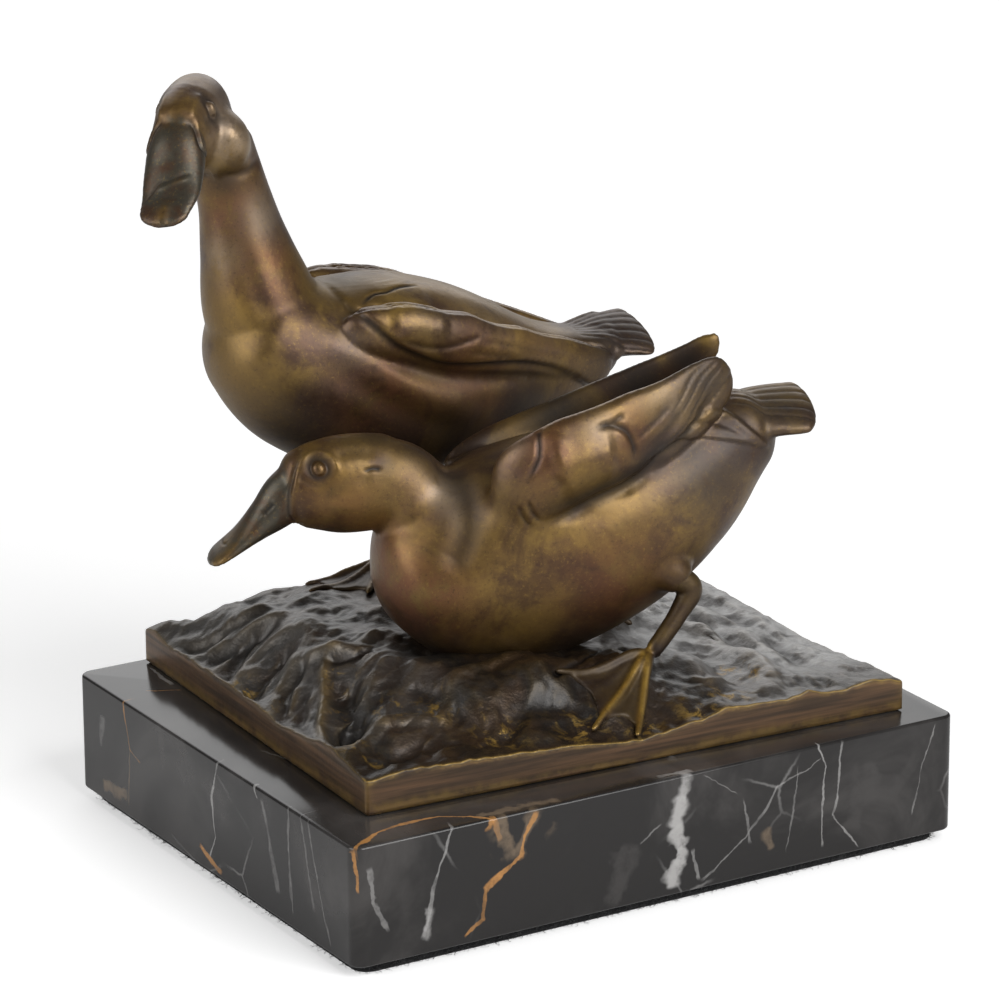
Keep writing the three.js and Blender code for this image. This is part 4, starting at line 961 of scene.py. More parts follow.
rearDuck = {
    "place": duckPlace(0, 38, 8),
    "grain": 0.56, "ridgeShine": 0.4,
    "head": {"middle": (54.1, 1, 157.9), "yaw": 57.4, "pitch": 2.5, "roll": 3.2, "size": 0.89,
             "breadth": 1.07, "bill": "rearBill", "skull": "rearSkull", "cheeks": head["rearCheeks"],
             "melt": 90, "strokes": "rearFace", "eye": "rearEye"},
    "neckUp": (1, 0, 0),
    "body": [(49, 0, 113, 12, 11, 9.8), (41, 0, 108, 16, 16, 14.8), (29, 0, 101, 19, 18.5, 20.5),
             (14, 0, 96.5, 20, 22, 23.5), (-1, 0, 93.5, 19.5, 21.4, 21), (-15, 0, 92, 17, 17.4, 17),
             (-28, 0, 92.5, 13, 10.8, 12), (-40, 0, 95, 8.5, 5.2, 7), (-47, 0, 96.5, 6.5, 4, 4)],
    "neck": [(35, 0, 104, 15, 13, 13), (39.5, 0, 116, 12.6, 12.2, 13.4), (42.5, 0, 128, 9.4, 9.4, 11),
             (44.5, 0, 138, 7.8, 7.6, 9.1), (47, 0.6, 147, 7.1, 7, 8.5), (50, 1, 156, 7.2, 6.2, 8.8)],
    "nearWing": [(25, 15.4, 112.5, 2.8, 4.5, 4.5), (14, 17.2, 109.8, 4, 6.5, 6.5),
                 (1, 17.4, 106, 4.2, 7.2, 7), (-13, 15.6, 102, 3.6, 5.8, 6.5),
                 (-27, 12, 98, 2.8, 4.4, 5.5), (-42, 8, 92.5, 1.6, 3.6, 3.6)],
    "tail": [(-36, 0, 95.5, 7, 3.6, 3.6), (-46, -0.4, 97.4, 8.5, 2.6, 2.6),
             (-55.5, -0.8, 97.2, 11, 1.6, 1.6)],
    "thigh": [(3, 8, 84, 6, 7), (3.5, 8, 76, 4.6, 5), (2.4, 7.6, 70.5, 3.3, 3.5)],
    "areas": [
        {"outline": [(23, 117.5), (22, 115), (19.7, 112.6), (17.2, 110), (14, 107.2), (10, 104.8),
                     (4.3, 102.2), (-3, 100.9), (-13.3, 99.8), (-23, 97.2), (-31.8, 93), (-44, 88),
                     (-46, 130), (-30, 150), (-10, 150), (14, 140)], "height": 0.8, "edge": 2.4, "hand": 0},
    ],
    "strokes": [
        groove(0.9, -0.7, 0.8, (24, 118.5), (22, 115), (19.7, 112.6), (17.2, 110), (14, 107.2),
               (10, 104.8), (4.3, 102.2), (-3, 100.9), (-13.3, 99.8), (-23, 97.2), (-31.8, 93)),
        groove(2.4, -0.7, 0.6, (16, 106), (8.5, 101), (1, 98.2), (-8, 96.8), (-17, 95.6), (-27, 91.8)),
        groove(0.6, -0.35, 0.5, (14, 109.4), (9, 107.2), (3.4, 106.4), (-1.7, 107), (-5.6, 107.6)),
        groove(0.4, -0.45, 1.2, (18.9, 11.6), (15.6, 9.5), (12.2, 9.2), (8.2, 7.4), (4.1, 6.3),
               plane="top", hand=1, box=((0, 24), (2, 16), (105, 125))),
        groove(4.0, 0.8, 0.0, (16, 113), (9, 112.5), (2, 111.5)),
        groove(0.6, -0.2, 0.4, (-2.8, 104.3), (-14.6, 101.1)),
        groove(0.6, -0.2, 0.3, (-5.5, 106.6), (-18.8, 102.3), (-30, 98)),
        groove(3.6, 0.8, 0.0, (31.5, 111.9), (24.2, 107), (13.3, 99), (3.9, 93.2), (-6.3, 89.2)),
        groove(3.5, -0.6, 0.1, (30, 105), (20, 97), (9, 90), (-3, 85)),
        groove(2.6, -0.45, 0.2, (47, 142), (46, 132), (44, 122), (41, 114)),
    ],
    "tints": {
        "gold": [((37.8, 16.3, 108.4), 9, 0.7), ((25.3, 11.6, 115), 8, 0.8), ((10.7, 16.5, 114), 10, 0.8),
                 ((-11, 18, 107), 12, 0.5), ((-28, 13, 101.8), 9, 0.6), ((46.5, 9.2, 119), 9, 0.4),
                 ((60, 10, 165), 6, 0.4), ((50, 9, 149), 4, 0.6)],
        # painted highlights: the pale tan sheen of the lamps on the cheek, the crown, the neck and the wing
        "paintedSheen": [((48.5, 9, 156.5), 7.5, 1), ((49.5, 9, 162), 5, 0.7), ((51.2, 5.5, 166.5), 4.5, 0.6),
                 ((40.3, 7.2, 136.8), 5, 0.7), ((-10, 12, 109), 8, 0.5), ((-22, 11, 105), 7, 0.4),
                 ((49.5, 5, 128), 4, 0.5)],
        "red": [((46.6, 7.4, 136.4), 8, 0.9), ((41.8, 9.5, 127.4), 9, 0.8), ((18, 19.7, 96), 14, 0.8),
                ((-3.7, 18.7, 97), 13, 0.8), ((24, 17, 106), 7, 0.6), ((-20, 16, 104), 9, 0.6),
                ((58, 6, 160), 7, 0.4)],
        "grey": [((38, 6, 136), 6, 0.7), ((24, 17, 108), 7, 0.8), ((6.4, 20.3, 112.5), 7, 0.7),
                 ((50, 4, 128), 8, 0.5), ((-45, 3, 98), 11, 0.8), ((34, 14, 96), 10, 0.5)],
        # dark: painted shade on the lower body, which lies behind the front duck, and between the wings; the
        # patches on the neck, by the head and on the tail are darker patina
        "dark": [((34.9, 10, 86), 13, 0.75), ((13, 15, 82), 14, 0.85), ((0, 15, 86), 13, 0.85),
                 ((-17, 14, 88), 12, 0.85), ((48.7, 7.2, 146.1), 5, 0.6), ((20, 0, 119), 9, 0.55),
                 ((-40, 6, 96), 8, 0.5), ((-48, 0, 98), 9, 0.45), ((62, 8, 158), 5, 0.3)],
    },
    "soft": [((36, 0, 112), 22, 22), ((27, 12, 112), 10, 20), ((27, -12, 112), 10, 20),
             ((0, 8, 78), 10, 30), ((0, -8, 78), 10, 30), ((-38, 0, 97), 10, 16), ((50, 1, 152), 8, 12),
             ((0, 0, 112), 20, 20), ((16, 15, 116), 9, 150), ((3, 15, 115), 9, 150),
             ((-11, 14, 111), 9, 110), ((-24, 11, 107), 8, 70), ((10, -14, 116), 12, 110),
             ((-10, -13, 111), 12, 90)],
    "tailFeathers": {"from": -37, "to": -57, "count": 7, "spread": (5.0, 10.0), "z": (88, 106)},
    "tailDrift": -0.8,
}

pieceOf("rear_duck_skin", duckClay(rearDuck), ["rear_duck_body"], "duck_bronze", rearDuck["place"])
print("ducks are carved")


# ground: a plate of rough earth, in its own frame with z above the marble

ground = {
    "length": 132.5, "width": 110, "middle": (3.8, 3), "turn": -2.65, "stone": 29.5, "tread": 2.5,
    "step": 0.5, "rim": 7.0, "mound": 10.8, "drop": 2.6, "dropReach": 45, "rimBlend": 12, "calmEdge": 8,
    "reach": {"left": 20, "right": 88, "front": 24, "back": 13},
    "frontRim": [(-66.3, 8.1), (-58.3, 9.0), (-48.8, 8.4), (-41.7, 8.4), (-20, 7.1), (-10.3, 6.2),
                 (0, 5.3), (7, 6.0), (12, 6.9), (17, 7.6), (22, 8.8), (32, 7.9), (37, 7.9), (42, 8.9),
                 (47, 7.7), (52, 7.7), (57.6, 8.6), (62.7, 8.0), (66.3, 7.1)],
    "leftRim": [(-55, 8.0), (-45, 9.3), (-38, 10.6), (-29, 9.2), (-14.4, 7.4), (0, 8.4), (14, 8.5), (36, 8.3),
                (55, 7.1)],
    "swells": [(-62, 50, 5, 3.0), (-51, 44, 9, -3.4), (-33, 43, 8, -1.7)],
    # folds: where they lie, height, length, width, turn and seed; grains: width and seed
    "folds": [("left", 0.7, 16, 5, 12, 11), ("left", 0.8, 7, 2.6, 24, 21),
              ("front", 1.1, 12, 8, 35, 31), ("front", 0.6, 6, 3.2, 60, 41),
              ("right", 0.9, 30, 5.5, -84, 51), ("right", 0.6, 14, 2.6, -88, 61)],
    "grains": [(1.9, 71), (4.3, 81)],
    # ridges and gullies pressed into the wax
    "strokes": [
        groove(2.2, -1.2, 0.4, (-66, 39), (-60, 33), (-54, 29), (-47, 27)),
        groove(1.8, -1.1, 0.4, (-65, 26), (-60, 25), (-55, 24), (-49, 20)),
        groove(2.2, 0.9, 0.1, (-65, 44), (-60.8, 37), (-53.7, 31.5), (-45.7, 30)),
        groove(2.0, 0.9, 0.1, (-65, 32), (-59, 29), (-52, 25.5), (-44, 22.5), (-30, 22)),
        groove(2.1, -1.9, 0.6, (-66, 13.5), (-60.6, 19.6), (-57, 22.5), (-51, 22.5)),
        groove(2.1, -2.1, 0.6, (-66, 0.5), (-62.8, 5), (-60.5, 6.5), (-57, 8), (-52, 9.5)),
        groove(1.7, 1.1, 0.15, (-65.5, 9.5), (-59.3, 15.5), (-54.3, 16.5), (-48.5, 13.5)),
        groove(1.9, 1.1, 0.15, (-65, -8.5), (-59.8, -1.4), (-55.4, 2), (-50.5, 5)),
        groove(1.4, -1.2, 0.5, (-65, -14), (-60.5, -5.5), (-56.5, -2), (-53, -0.5)),
        groove(0.9, 0.6, 0.1, (-63.7, -12.5), (-60.8, -9.2), (-57.6, -5.6)),
        groove(1.2, -0.9, 0.4, (-64, -19), (-60.6, -13.7), (-57.4, -8.7)),
        groove(1.1, 1.4, 0.7, (-50.5, -5), (-52.5, -8.5), (-54.6, -13.3), (-57.9, -18.8), (-62.2, -26),
               (-65.5, -36)),
        groove(2.8, -2.6, 0.6, (-49.5, -12), (-52.3, -18), (-54.6, -24.5), (-58.5, -31), (-63, -38)),
        groove(1.8, 1.4, 0.2, (-53.5, 0.5), (-49.4, -2.7), (-43.9, -3.7), (-37.5, -0.8), (-33.6, -0.5)),
        groove(1.5, -1.7, 0.8, (-51.5, -5.5), (-46, -8), (-40, -7.5)),
        groove(2.8, -1.4, 0.5, (-62, -33), (-55, -28.5), (-51, -26.5), (-42.5, -21.5), (-37, -15.5)),
        groove(2.4, 1.4, 0.15, (-66, -44), (-54.5, -35), (-46.2, -34), (-40, -36.5)),
        groove(2.6, -1.0, 0.4, (-64, -51), (-54, -45), (-44, -44)),
        groove(2.4, -1.4, 0.5, (-40.7, -23.5), (-38.4, -28.4), (-36.4, -34), (-35, -44)),
        groove(1.9, 1.1, 0.15, (-41, -40), (-35.6, -33.2), (-29.7, -29.1), (-22.7, -27.4), (-10, -24)),
        groove(2.4, -1.2, 0.4, (-30, -50), (-22, -43), (-12, -44), (-6, -50)),
        groove(0.6, -0.7, 0.8, (-12, -38), (-9.8, -36.6), (1.8, -29.2), (11.7, -23.1), (15.6, -22.5)),
        groove(2.6, 1.6, 0.2, (40, 3), (44.4, -4), (43.5, -14), (42.7, -21), (42.2, -34), (38, -49)),
        groove(4.0, -1.9, 0.45, (34, -8), (36, -20), (34, -32), (29, -46)),
        groove(1.3, 1.0, 0.15, (20.8, -39.1), (25, -42.1), (36.4, -36)),
        groove(2.0, 1.1, 0.1, (8, -19), (14, -12), (25.2, -1.2), (36, 10), (45.7, 18)),
        groove(1.7, -1.1, 0.7, (58.3, 8), (58.7, -3)),
        groove(1.7, -1.1, 0.7, (57.8, -12), (54, -31)),
        groove(1.5, -0.9, 0.5, (49, 12), (48.5, -8), (46.5, -22)),
        groove(1.5, 0.7, 0.05, (51.7, 15), (52.4, -10), (50, -34)),
        groove(1.4, 0.6, 0.05, (62.6, 27), (62, -2.5), (60.5, -28)),
    ],
    # where the edges are gilded by wear: place and radius
    "gilt": [(16, -52.3, 4), (25.5, -49, 4), (39.6, -37, 4), (36, -30, 3), (44.9, -50.6, 3),
             (-50.3, -10.1, 3), (-46.9, -29.2, 4), (-39.4, -33.5, 4), (-60.8, -42.8, 4), (-30, -47, 5),
             (-12, -50, 5), (2, -51, 4), (-56, -21, 2), (-65, 7, 3), (-65, -4, 3)],
}


tables = {}
tableSize = 128


def lattice(x, y, seed):  # smooth random waves, one unit long
    if seed not in tables:
        tables[seed] = np.random.RandomState(seed).rand(tableSize, tableSize)
    table = tables[seed]
    i, j = np.floor(x).astype(int), np.floor(y).astype(int)
    u, v = ease(x - i), ease(y - j)
    i0, i1, j0, j1 = (k % tableSize for k in (i, i + 1, j, j + 1))
    a, b, c, d = table[i0, j0], table[i1, j0], table[i0, j1], table[i1, j1]
    return (a * (1 - u) + b * u) * (1 - v) + (c * (1 - u) + d * u) * v


def folds(x, y, along, across, turn, seed):  # ridges with soft valleys, long one way
    c, s = cos(radians(turn)), sin(radians(turn))
    u, v = (x * c + y * s) / along, (-x * s + y * c) / across
    bend = 0.7 * lattice(u * 0.8 + 7, v * 0.5, seed + 1)
    coarse = lattice(u + bend + 40, v + bend + 40, seed)
    n = 0.65 * coarse + 0.35 * lattice(2.1 * u + 9, 2.1 * v + 9, seed + 2)
    return 1 - np.abs(2 * n - 1)


def groundHeight(x, y):
    g = ground
    half, deep = g["length"] / 2, g["width"] / 2
    front = np.interp(x, *zip(*g["frontRim"]))
    left = np.interp(y, *zip(*g["leftRim"]))
    base = g["rim"] - g["drop"] * ease(x / g["dropReach"]) * ease((y + deep) / g["dropReach"])
    nearFront = ease(1 - (y + deep) / g["rimBlend"])
    nearLeft = ease(1 - (x + half) / g["rimBlend"])
    base = base * (1 - nearFront) + front * nearFront
    base = base * (1 - nearLeft) + left * nearLeft
    r = g["reach"]
    frontReach = r["front"] + 38 * ease((-20 - x) / 40)
    leftReach = r["left"] - 5 * ease((y - 22) / 26)
    share = (ease((x + half) / leftReach) * ease((half - x) / r["right"]) * ease((y + deep) / frontReach)
             * ease((deep - y) / r["back"]))
    h = base + g["mound"] * share
    # long waves, which fade out at the edges
    wild = 0.5 * np.sin(0.33 * x + 0.21 * y + 1.4 * np.sin(0.11 * y))
    wild = wild + 0.8 * np.sin(0.19 * x - 0.27 * y + 1.1) * np.sin(0.14 * x + 0.1 * y + 0.6)
    for bx, by, wide, high in g["swells"]:
        h = h + high * np.exp(-((x - bx) ** 2 + (y - by) ** 2) / wide ** 2)
    inward = 1
    for away in (x + half, half - x, y + deep, deep - y):
        inward = inward * ease(away / g["calmEdge"])
    h = h + wild * inward
    # the left, the front and the right have folds of their own
    atLeft = ease((-22 - x) / 22)
    atFront = ease((-12 - y) / 18) * (1 - atLeft * ease((y + 40) / 20))
    atRight = ease((x - 30) / 14)
    edge = 0.25 + 0.75 * inward
    where = {"left": atLeft, "front": atFront * (1 - atRight), "right": atRight}
    for place, high, *shape in g["folds"]:
        h = h + high * (folds(x, y, *shape) - 0.6) * where[place] * edge
    grain = sum(lattice(x / wide + 50, y / wide + 50, seed) - 0.5 for wide, seed in g["grains"])
    return h + 0.5 * grain


def toGround(x, y):  # from the object's own frame
    a = -radians(ground["turn"])
    dx, dy = x - ground["middle"][0], y - ground["middle"][1]
    return dx * cos(a) - dy * sin(a), dx * sin(a) + dy * cos(a)


def earthUnder(x, y):
    gx, gy = toGround(np.atleast_1d(np.asarray(x, float)), np.atleast_1d(np.asarray(y, float)))
    return calmHeight(gx, gy) + ground["stone"]


def calmHeight(x, y):  # the earth as it is trodden flat round the feet
    shifts = (-ground["tread"], 0, ground["tread"])
    return sum(groundHeight(x + dx, y + dy) for dx in shifts for dy in shifts) / len(shifts) ** 2


legs = [
    {"name": "front_duck_left_leg", "place": frontDuck["place"],
     "shank": [(-42.5, 14.8, 63.5, 2.8, 2.8), (-48.0, 14.2, 59.5, 2.9, 2.9), (-45.4, 15.6, 54.5, 2.2, 2.2),
               (-41, 17, 49, 2.0, 2.0)],
     "foot": (-38.3, 17.5), "turns": (17, 49, 69), "lengths": (24, 27.5, 23.5),
     "arch": 3.2, "bright": (0.05, 1, 1)},
    {"name": "front_duck_right_leg", "place": frontDuck["place"],
     "shank": [(-42.5, -14.8, 63.5, 2.1, 2.1), (-48.4, -14.2, 59.5, 2.5, 2.5), (-46, -16, 54.5, 1.8, 1.8),
               (-42, -18, 49, 1.7, 1.7)],
     "foot": (-39, -19.5), "turns": (-48, -22, 4), "lengths": (20, 22, 20),
     "arch": 1.0, "bright": (0.6, 0.6, 0.6)},
    {"name": "rear_duck_left_leg", "place": rearDuck["place"],
     "shank": [(3.4, 8, 76.5, 2.1, 2.1), (0.6, 7.8, 69, 2.5, 2.5), (-4.6, 7.8, 64.5, 2.3, 2.3),
               (-9.6, 8, 56.5, 1.7, 1.7)],
     "foot": (-13, 8), "turns": (-14, 14, 42), "lengths": (20, 22, 20),
     "arch": 1.0, "bright": (0.6, 0.6, 0.6)},
    {"name": "rear_duck_right_leg", "place": rearDuck["place"],
     "shank": [(3.4, -8, 76.5, 2.1, 2.1), (1.2, -7.6, 69, 2.5, 2.5), (1.4, -7.2, 64.5, 2.3, 2.3),
               (4.4, -6.4, 57, 1.7, 1.7)],
     "foot": (7, -5.5), "turns": (-1, 27, 55), "lengths": (20, 26.5, 19),
     "arch": 1.0, "bright": (0.3, 0.3, 0.3)},
]
toe = {"radius": 1.25, "tip": 0.75, "hind": 5, "web": 0.6, "webDepth": 1.0, "webReach": 0.84,
       "webBay": 0.16, "webStart": 0.6, "fold": 0.22, "knuckle": 0.16, "steps": 6, "grain": 0.36,
       "archReach": 14}


def onEarth(leg, turn, distance, lift=0.0):
    a = radians(turn)
    x, y = leg["foot"][0] + distance * cos(a), leg["foot"][1] + distance * sin(a)
    p = leg["place"] @ Vector((x, y, 0))
    arch = leg["arch"] * ease(1 - distance / toe["archReach"])
    return p.x, p.y, float(earthUnder(p.x, p.y)[0] + arch) + lift


def toeShell(leg, turn, length):
    rows = []
    for k in range(toe["steps"] + 1):
        f = k / toe["steps"]
        r = toe["radius"] + (toe["tip"] - toe["radius"]) * f + toe["knuckle"] * sin(f * 5 * pi) * (1 - f)
        rows.append((*onEarth(leg, turn, length * f, r * 0.55), r, r))
    return loft(rows, (1.5, 1.5), rings=40, sides=16, caps=5)


def webShell(leg, n=14):
    columns = 2 * n
    i, j = np.meshgrid(np.arange(n + 1), np.arange(columns + 1), indexing="ij")
    side = (j >= n).astype(int)
    f = j / n - side
    turns, lengths = np.asarray(leg["turns"], float), np.asarray(leg["lengths"], float)
    end = np.minimum(side + 1, 2)
    turn = np.radians(turns[side] + (turns[end] - turns[side]) * f)
    length = lengths[side] + (lengths[end] - lengths[side]) * f
    away = toe["webStart"] + length * toe["webReach"] * (1 - toe["webBay"] * np.sin(pi * f)) * i / n
    fold = toe["fold"] * np.sin(pi * f * 3) ** 2 * np.sin(pi * f)
    footX, footY = leg["foot"]
    flat = np.stack([footX + away * np.cos(turn), footY + away * np.sin(turn), away * 0], -1)
    at = movedShell((flat.reshape(-1, 3), None), leg["place"])[0]
    arch = leg["arch"] * ease(1 - away.ravel() / toe["archReach"])
    earth = earthUnder(at[:, 0], at[:, 1]) + arch
    top = np.column_stack([at[:, :2], earth + toe["web"] + fold.ravel()])
    low = np.column_stack([at[:, :2], earth - toe["webDepth"] - arch])
    points = np.vstack([top, low])
    m = len(top)
    w = columns + 1
    faces = []
    for i in range(n):
        for j in range(columns):
            a, b, c, d = i * w + j, (i + 1) * w + j, (i + 1) * w + j + 1, i * w + j + 1
            faces += [[a, b, c, d], [m + d, m + c, m + b, m + a]]
    rim = ([i * w for i in range(n + 1)] + [n * w + j for j in range(1, w)]
           + [i * w + columns for i in range(n - 1, -1, -1)] + [j for j in range(columns - 1, 0, -1)])
    for a, b in zip(rim, rim[1:] + rim[:1]):
        faces.append([a, m + a, m + b, b])
    return points, faces


def makeLeg(leg):
    ankle = onEarth(leg, 0, 0, 0.6)
    rows = [(*(leg["place"] @ Vector(s[:3])), s[3], s[4]) for s in leg["shank"]] + [(*ankle, 2.0, 1.8)]
    shells = [loft(rows, (2, 2), upward=(1, 0, 0), rings=50, sides=24, caps=6), webShell(leg)]
    shells += [toeShell(leg, turn, length) for turn, length in zip(leg["turns"], leg["lengths"])]
    shells.append(toeShell(leg, leg["turns"][1] + 180, toe["hind"]))
    clay = clayOf(blended(shells, toe["grain"]))
    soften(clay, 4)
    patina(clay, (5, 16), (3.0, 1.2))
    points, normals = clay["points"], normalsOf(clay)
    start = np.array(onEarth(leg, 0, 0))
    low = ease((start[2] + 5 - points[:, 2]) / 3)
    ridge = np.zeros(len(points))
    for turn, length, bright in zip(leg["turns"], leg["lengths"], leg["bright"]):
        end = onEarth(leg, turn, length)
        d = lineDistance(points[:, :2], [start[:2], end[:2]])[0]
        ridge = np.maximum(ridge, bright * np.exp(-(d / 0.75) ** 2) * np.clip(normals[:, 2] * 2, 0, 1))
    # a painted highlight on the shin, brightest on the side that faces the key light, laid into the rubbed
    # layer
    paintedShinHighlight = 0.35 * (1 - low) * np.clip(0.5 + normals @ [0.3, -0.8, 0.4], 0, 1)
    clay["rub"] = np.maximum(ridge * low, paintedShinHighlight)
    # the foot goes dark near the earth except along the toe ridges, and the leg above it is darker all over
    darkened = np.maximum(clay["dark"] * (1 - ridge), low * (0.72 - ridge))
    clay["dark"] = np.clip(darkened + 0.6 * (1 - low), 0, 1)
    pieceOf(leg["name"] + "_skin", clay, [leg["name"]], "duck_bronze")


for leg in legs:
    makeLeg(leg)
print("legs are made")


def drawnIn(values, size, inset, inward):  # rim points moved from the inset to their ring
    onEdge = np.abs(np.abs(values) - size + inset) < 1e-6
    return np.where(onEdge, np.sign(values) * (size - inward), np.clip(values, -size + inward, size - inward))


def makeGround(g):
    nx, ny = int(g["length"] / g["step"]), int(g["width"] / g["step"])
    half, deep = g["length"] / 2, g["width"] / 2
    inset, lip, rimWidth, roof = 0.45, 0.42, 3.6, 1.2
    xs = np.linspace(-half + inset, half - inset, nx + 1)
    ys = np.linspace(-deep + inset, deep - inset, ny + 1)
    gx, gy = np.meshgrid(xs, ys, indexing="ij")
    h = groundHeight(gx, gy)
    points = [np.column_stack([gx.ravel(), gy.ravel(), h.ravel()])]
    k = np.arange(nx)[:, None] * (ny + 1) + np.arange(ny)
    faces = np.stack([k, k + ny + 1, k + ny + 2, k + 1], -1).reshape(-1, 4).tolist()
    rim = ([i * (ny + 1) for i in range(nx)] + [nx * (ny + 1) + j for j in range(ny)]
           + [i * (ny + 1) + ny for i in range(nx, 0, -1)] + [j for j in range(ny, 0, -1)])
    top = points[0][rim]
    count = len(rim)
    start = len(points[0])
    last = rim
    high = top[:, 2]
    rings = [(0.12, high - 0.10), (0.0, high - lip)]  # how far in each ring lies, and its height
    rings += [(0.0, (high - lip) * (1 - f)) for f in np.linspace(0.12, 1, 12)]
    rings += [(rimWidth, np.zeros(count)), (rimWidth, np.full(count, roof))]
    for inward, z in rings:
        x, y = drawnIn(top[:, 0], half, inset, inward), drawnIn(top[:, 1], deep, inset, inward)
        points.append(np.column_stack([x, y, z]))
        here = [start + n for n in range(count)]
        faces += [[a, c, d, b] for a, b, c, d in zip(last, last[1:] + last[:1], here, here[1:] + here[:1])]
        last = here
        start += count
    points.append(np.array([[0, 0, roof]]))
    faces += [[a, start, b] for a, b in zip(last, last[1:] + last[:1])]
    clay = clayOf(plainMesh("earth", np.vstack(points), faces))
    box = ((-half + 0.6, half - 0.6), (-1, deep - 0.6), (3, 40))
    carve(clay, [{**stroke, "plane": "top", "hand": 1, "facing": 0.3, "box": box} for stroke in g["strokes"]])
    soften(clay, 1)
    upright = np.clip((0.55 - normalsOf(clay)[:, 2]) * 4, 0, 1)
    patina(clay, (4, 24), (2.0, 0.55))
    x, y, z = clay["points"].T
    outward = np.maximum(np.abs(x) - half, np.abs(y) - deep)
    edge = np.exp(-(outward / 0.4) ** 2) * (z > 3.0)
    rim = np.exp(-((z - groundHeight(x, y)) / 0.45) ** 2) * edge
    clay["rub"] = np.maximum(clay["rub"] * 0.4, rim * np.where(np.abs(y + deep) < 2, 1.0, 0.3))
    clay["side"] = upright * (outward > -0.3)
    # painted reflections, away from the hollows: a grey sheen on the left and right parts, and a paler one to
    # the right
    right = ease((x - 16) / 22) * (1 - clay["dark"])
    left = ease((-24 - x) / 20) * ease((y + 46) / 16) * (1 - clay["dark"])
    clay["sheen"] = 0.7 * left + 0.9 * right
    clay["bright"] = 0.85 * right * ease((y + 50) / 20)
    clay["dark"] = clay["dark"] * 0.85
    clay["gilt"] = sum(np.exp(-((x - gx) ** 2 + (y - gy) ** 2) / r ** 2) for gx, gy, r in g["gilt"])
    place = Matrix.Translation((*g["middle"], g["stone"])) @ Matrix.Rotation(radians(g["turn"]), 4, "Z")
    own = ("side", "sheen", "bright", "gilt")
    pieceOf("ground_earth", clay, ["ground_casting"], "ground_bronze", place, own)


makeGround(ground)
print("ground is made")


# marble plinth and felt

plinth = {
    "size": (152, 126), "low": 2.5, "high": 29.5, "corner": 3.0, "edge": 0.7,
    "studs": [(-34, 16), (24, 13)], "bore": 3.4, "counterbore": 7.5, "counterboreDepth": 8,
}


def roundedLoop(length, width, corner, steps=12):
    loop = []
    flatX, flatY = length / 2 - corner, width / 2 - corner
    for cx, cy, start in ((1, 1, 0), (-1, 1, 90), (-1, -1, 180), (1, -1, 270)):
        for k in range(steps + 1):
            a = radians(start + 90 * k / steps)
            loop.append((cx * flatX + corner * cos(a), cy * flatY + corner * sin(a)))
    return loop


def roundedSlab(length, width, low, high, corner, edge, steps=6):
    rows = []
    for k in range(steps + 1):
        a = radians(90 * k / steps)
        rows.append((edge * (1 - sin(a)), low + edge * (1 - cos(a))))
    rows += [(inset, low + high - z) for inset, z in rows[::-1]]
    points, faces, n = [], [], 0
    for inset, z in rows:
        loop = roundedLoop(length - 2 * inset, width - 2 * inset, corner - inset)
        n = len(loop)
        points += [(x, y, z) for x, y in loop]
    for r in range(len(rows) - 1):
        for j in range(n):
            a, b = r * n + j, r * n + (j + 1) % n
            faces.append([a, b, b + n, a + n])
    faces.append(list(range(n))[::-1])
    faces.append([(len(rows) - 1) * n + j for j in range(n)])
    return points, faces


def makePlinth(block):
    points, faces = roundedSlab(*block["size"], block["low"], block["high"], block["corner"], block["edge"])
    me = plainMesh("marble", np.array(points) * mm, faces)
    obj = placed("marble_block", me)
    cutters = []
    drills = ((block["bore"], block["high"] + 1),
              (block["counterbore"], block["low"] + block["counterboreDepth"]))
    for x, y in block["studs"]:
        for radius, high in drills:
            bm = bmesh.new()
            bmesh.ops.create_cone(bm, cap_ends=True, segments=48, radius1=radius * mm, radius2=radius * mm,
                                  depth=high * mm, matrix=Matrix.Translation((x * mm, y * mm, high / 2 * mm)))
            cm = bpy.data.meshes.new("drill")
            bm.to_mesh(cm)
            bm.free()
            cutter = placed("drill", cm)
            cut = obj.modifiers.new("bore", "BOOLEAN")
            cut.operation, cut.solver, cut.object = "DIFFERENCE", "EXACT", cutter
            cutters.append(cutter)
    bored = evaluated(obj)
    obj.modifiers.clear()
    obj.data = bored
    for cutter in cutters:
        bpy.data.objects.remove(cutter)
    bored.shade_smooth()
    bored.set_sharp_from_angle(angle=radians(30))
    bored.materials.clear()
    bored.materials.append(finishes["marble"])
    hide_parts("marble_plinth")
    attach(obj, "root")


makePlinth(plinth)

felt = {
    "size": (147, 121), "thick": 2.5, "corner": 4, "edge": 0.5,
    # fibres on each square metre, and their length and thickness in metres
    "fibres": {"Amount": 2.6e6, "Length": 0.0014, "Thickness": 0.00004}, "seed": 7,
}


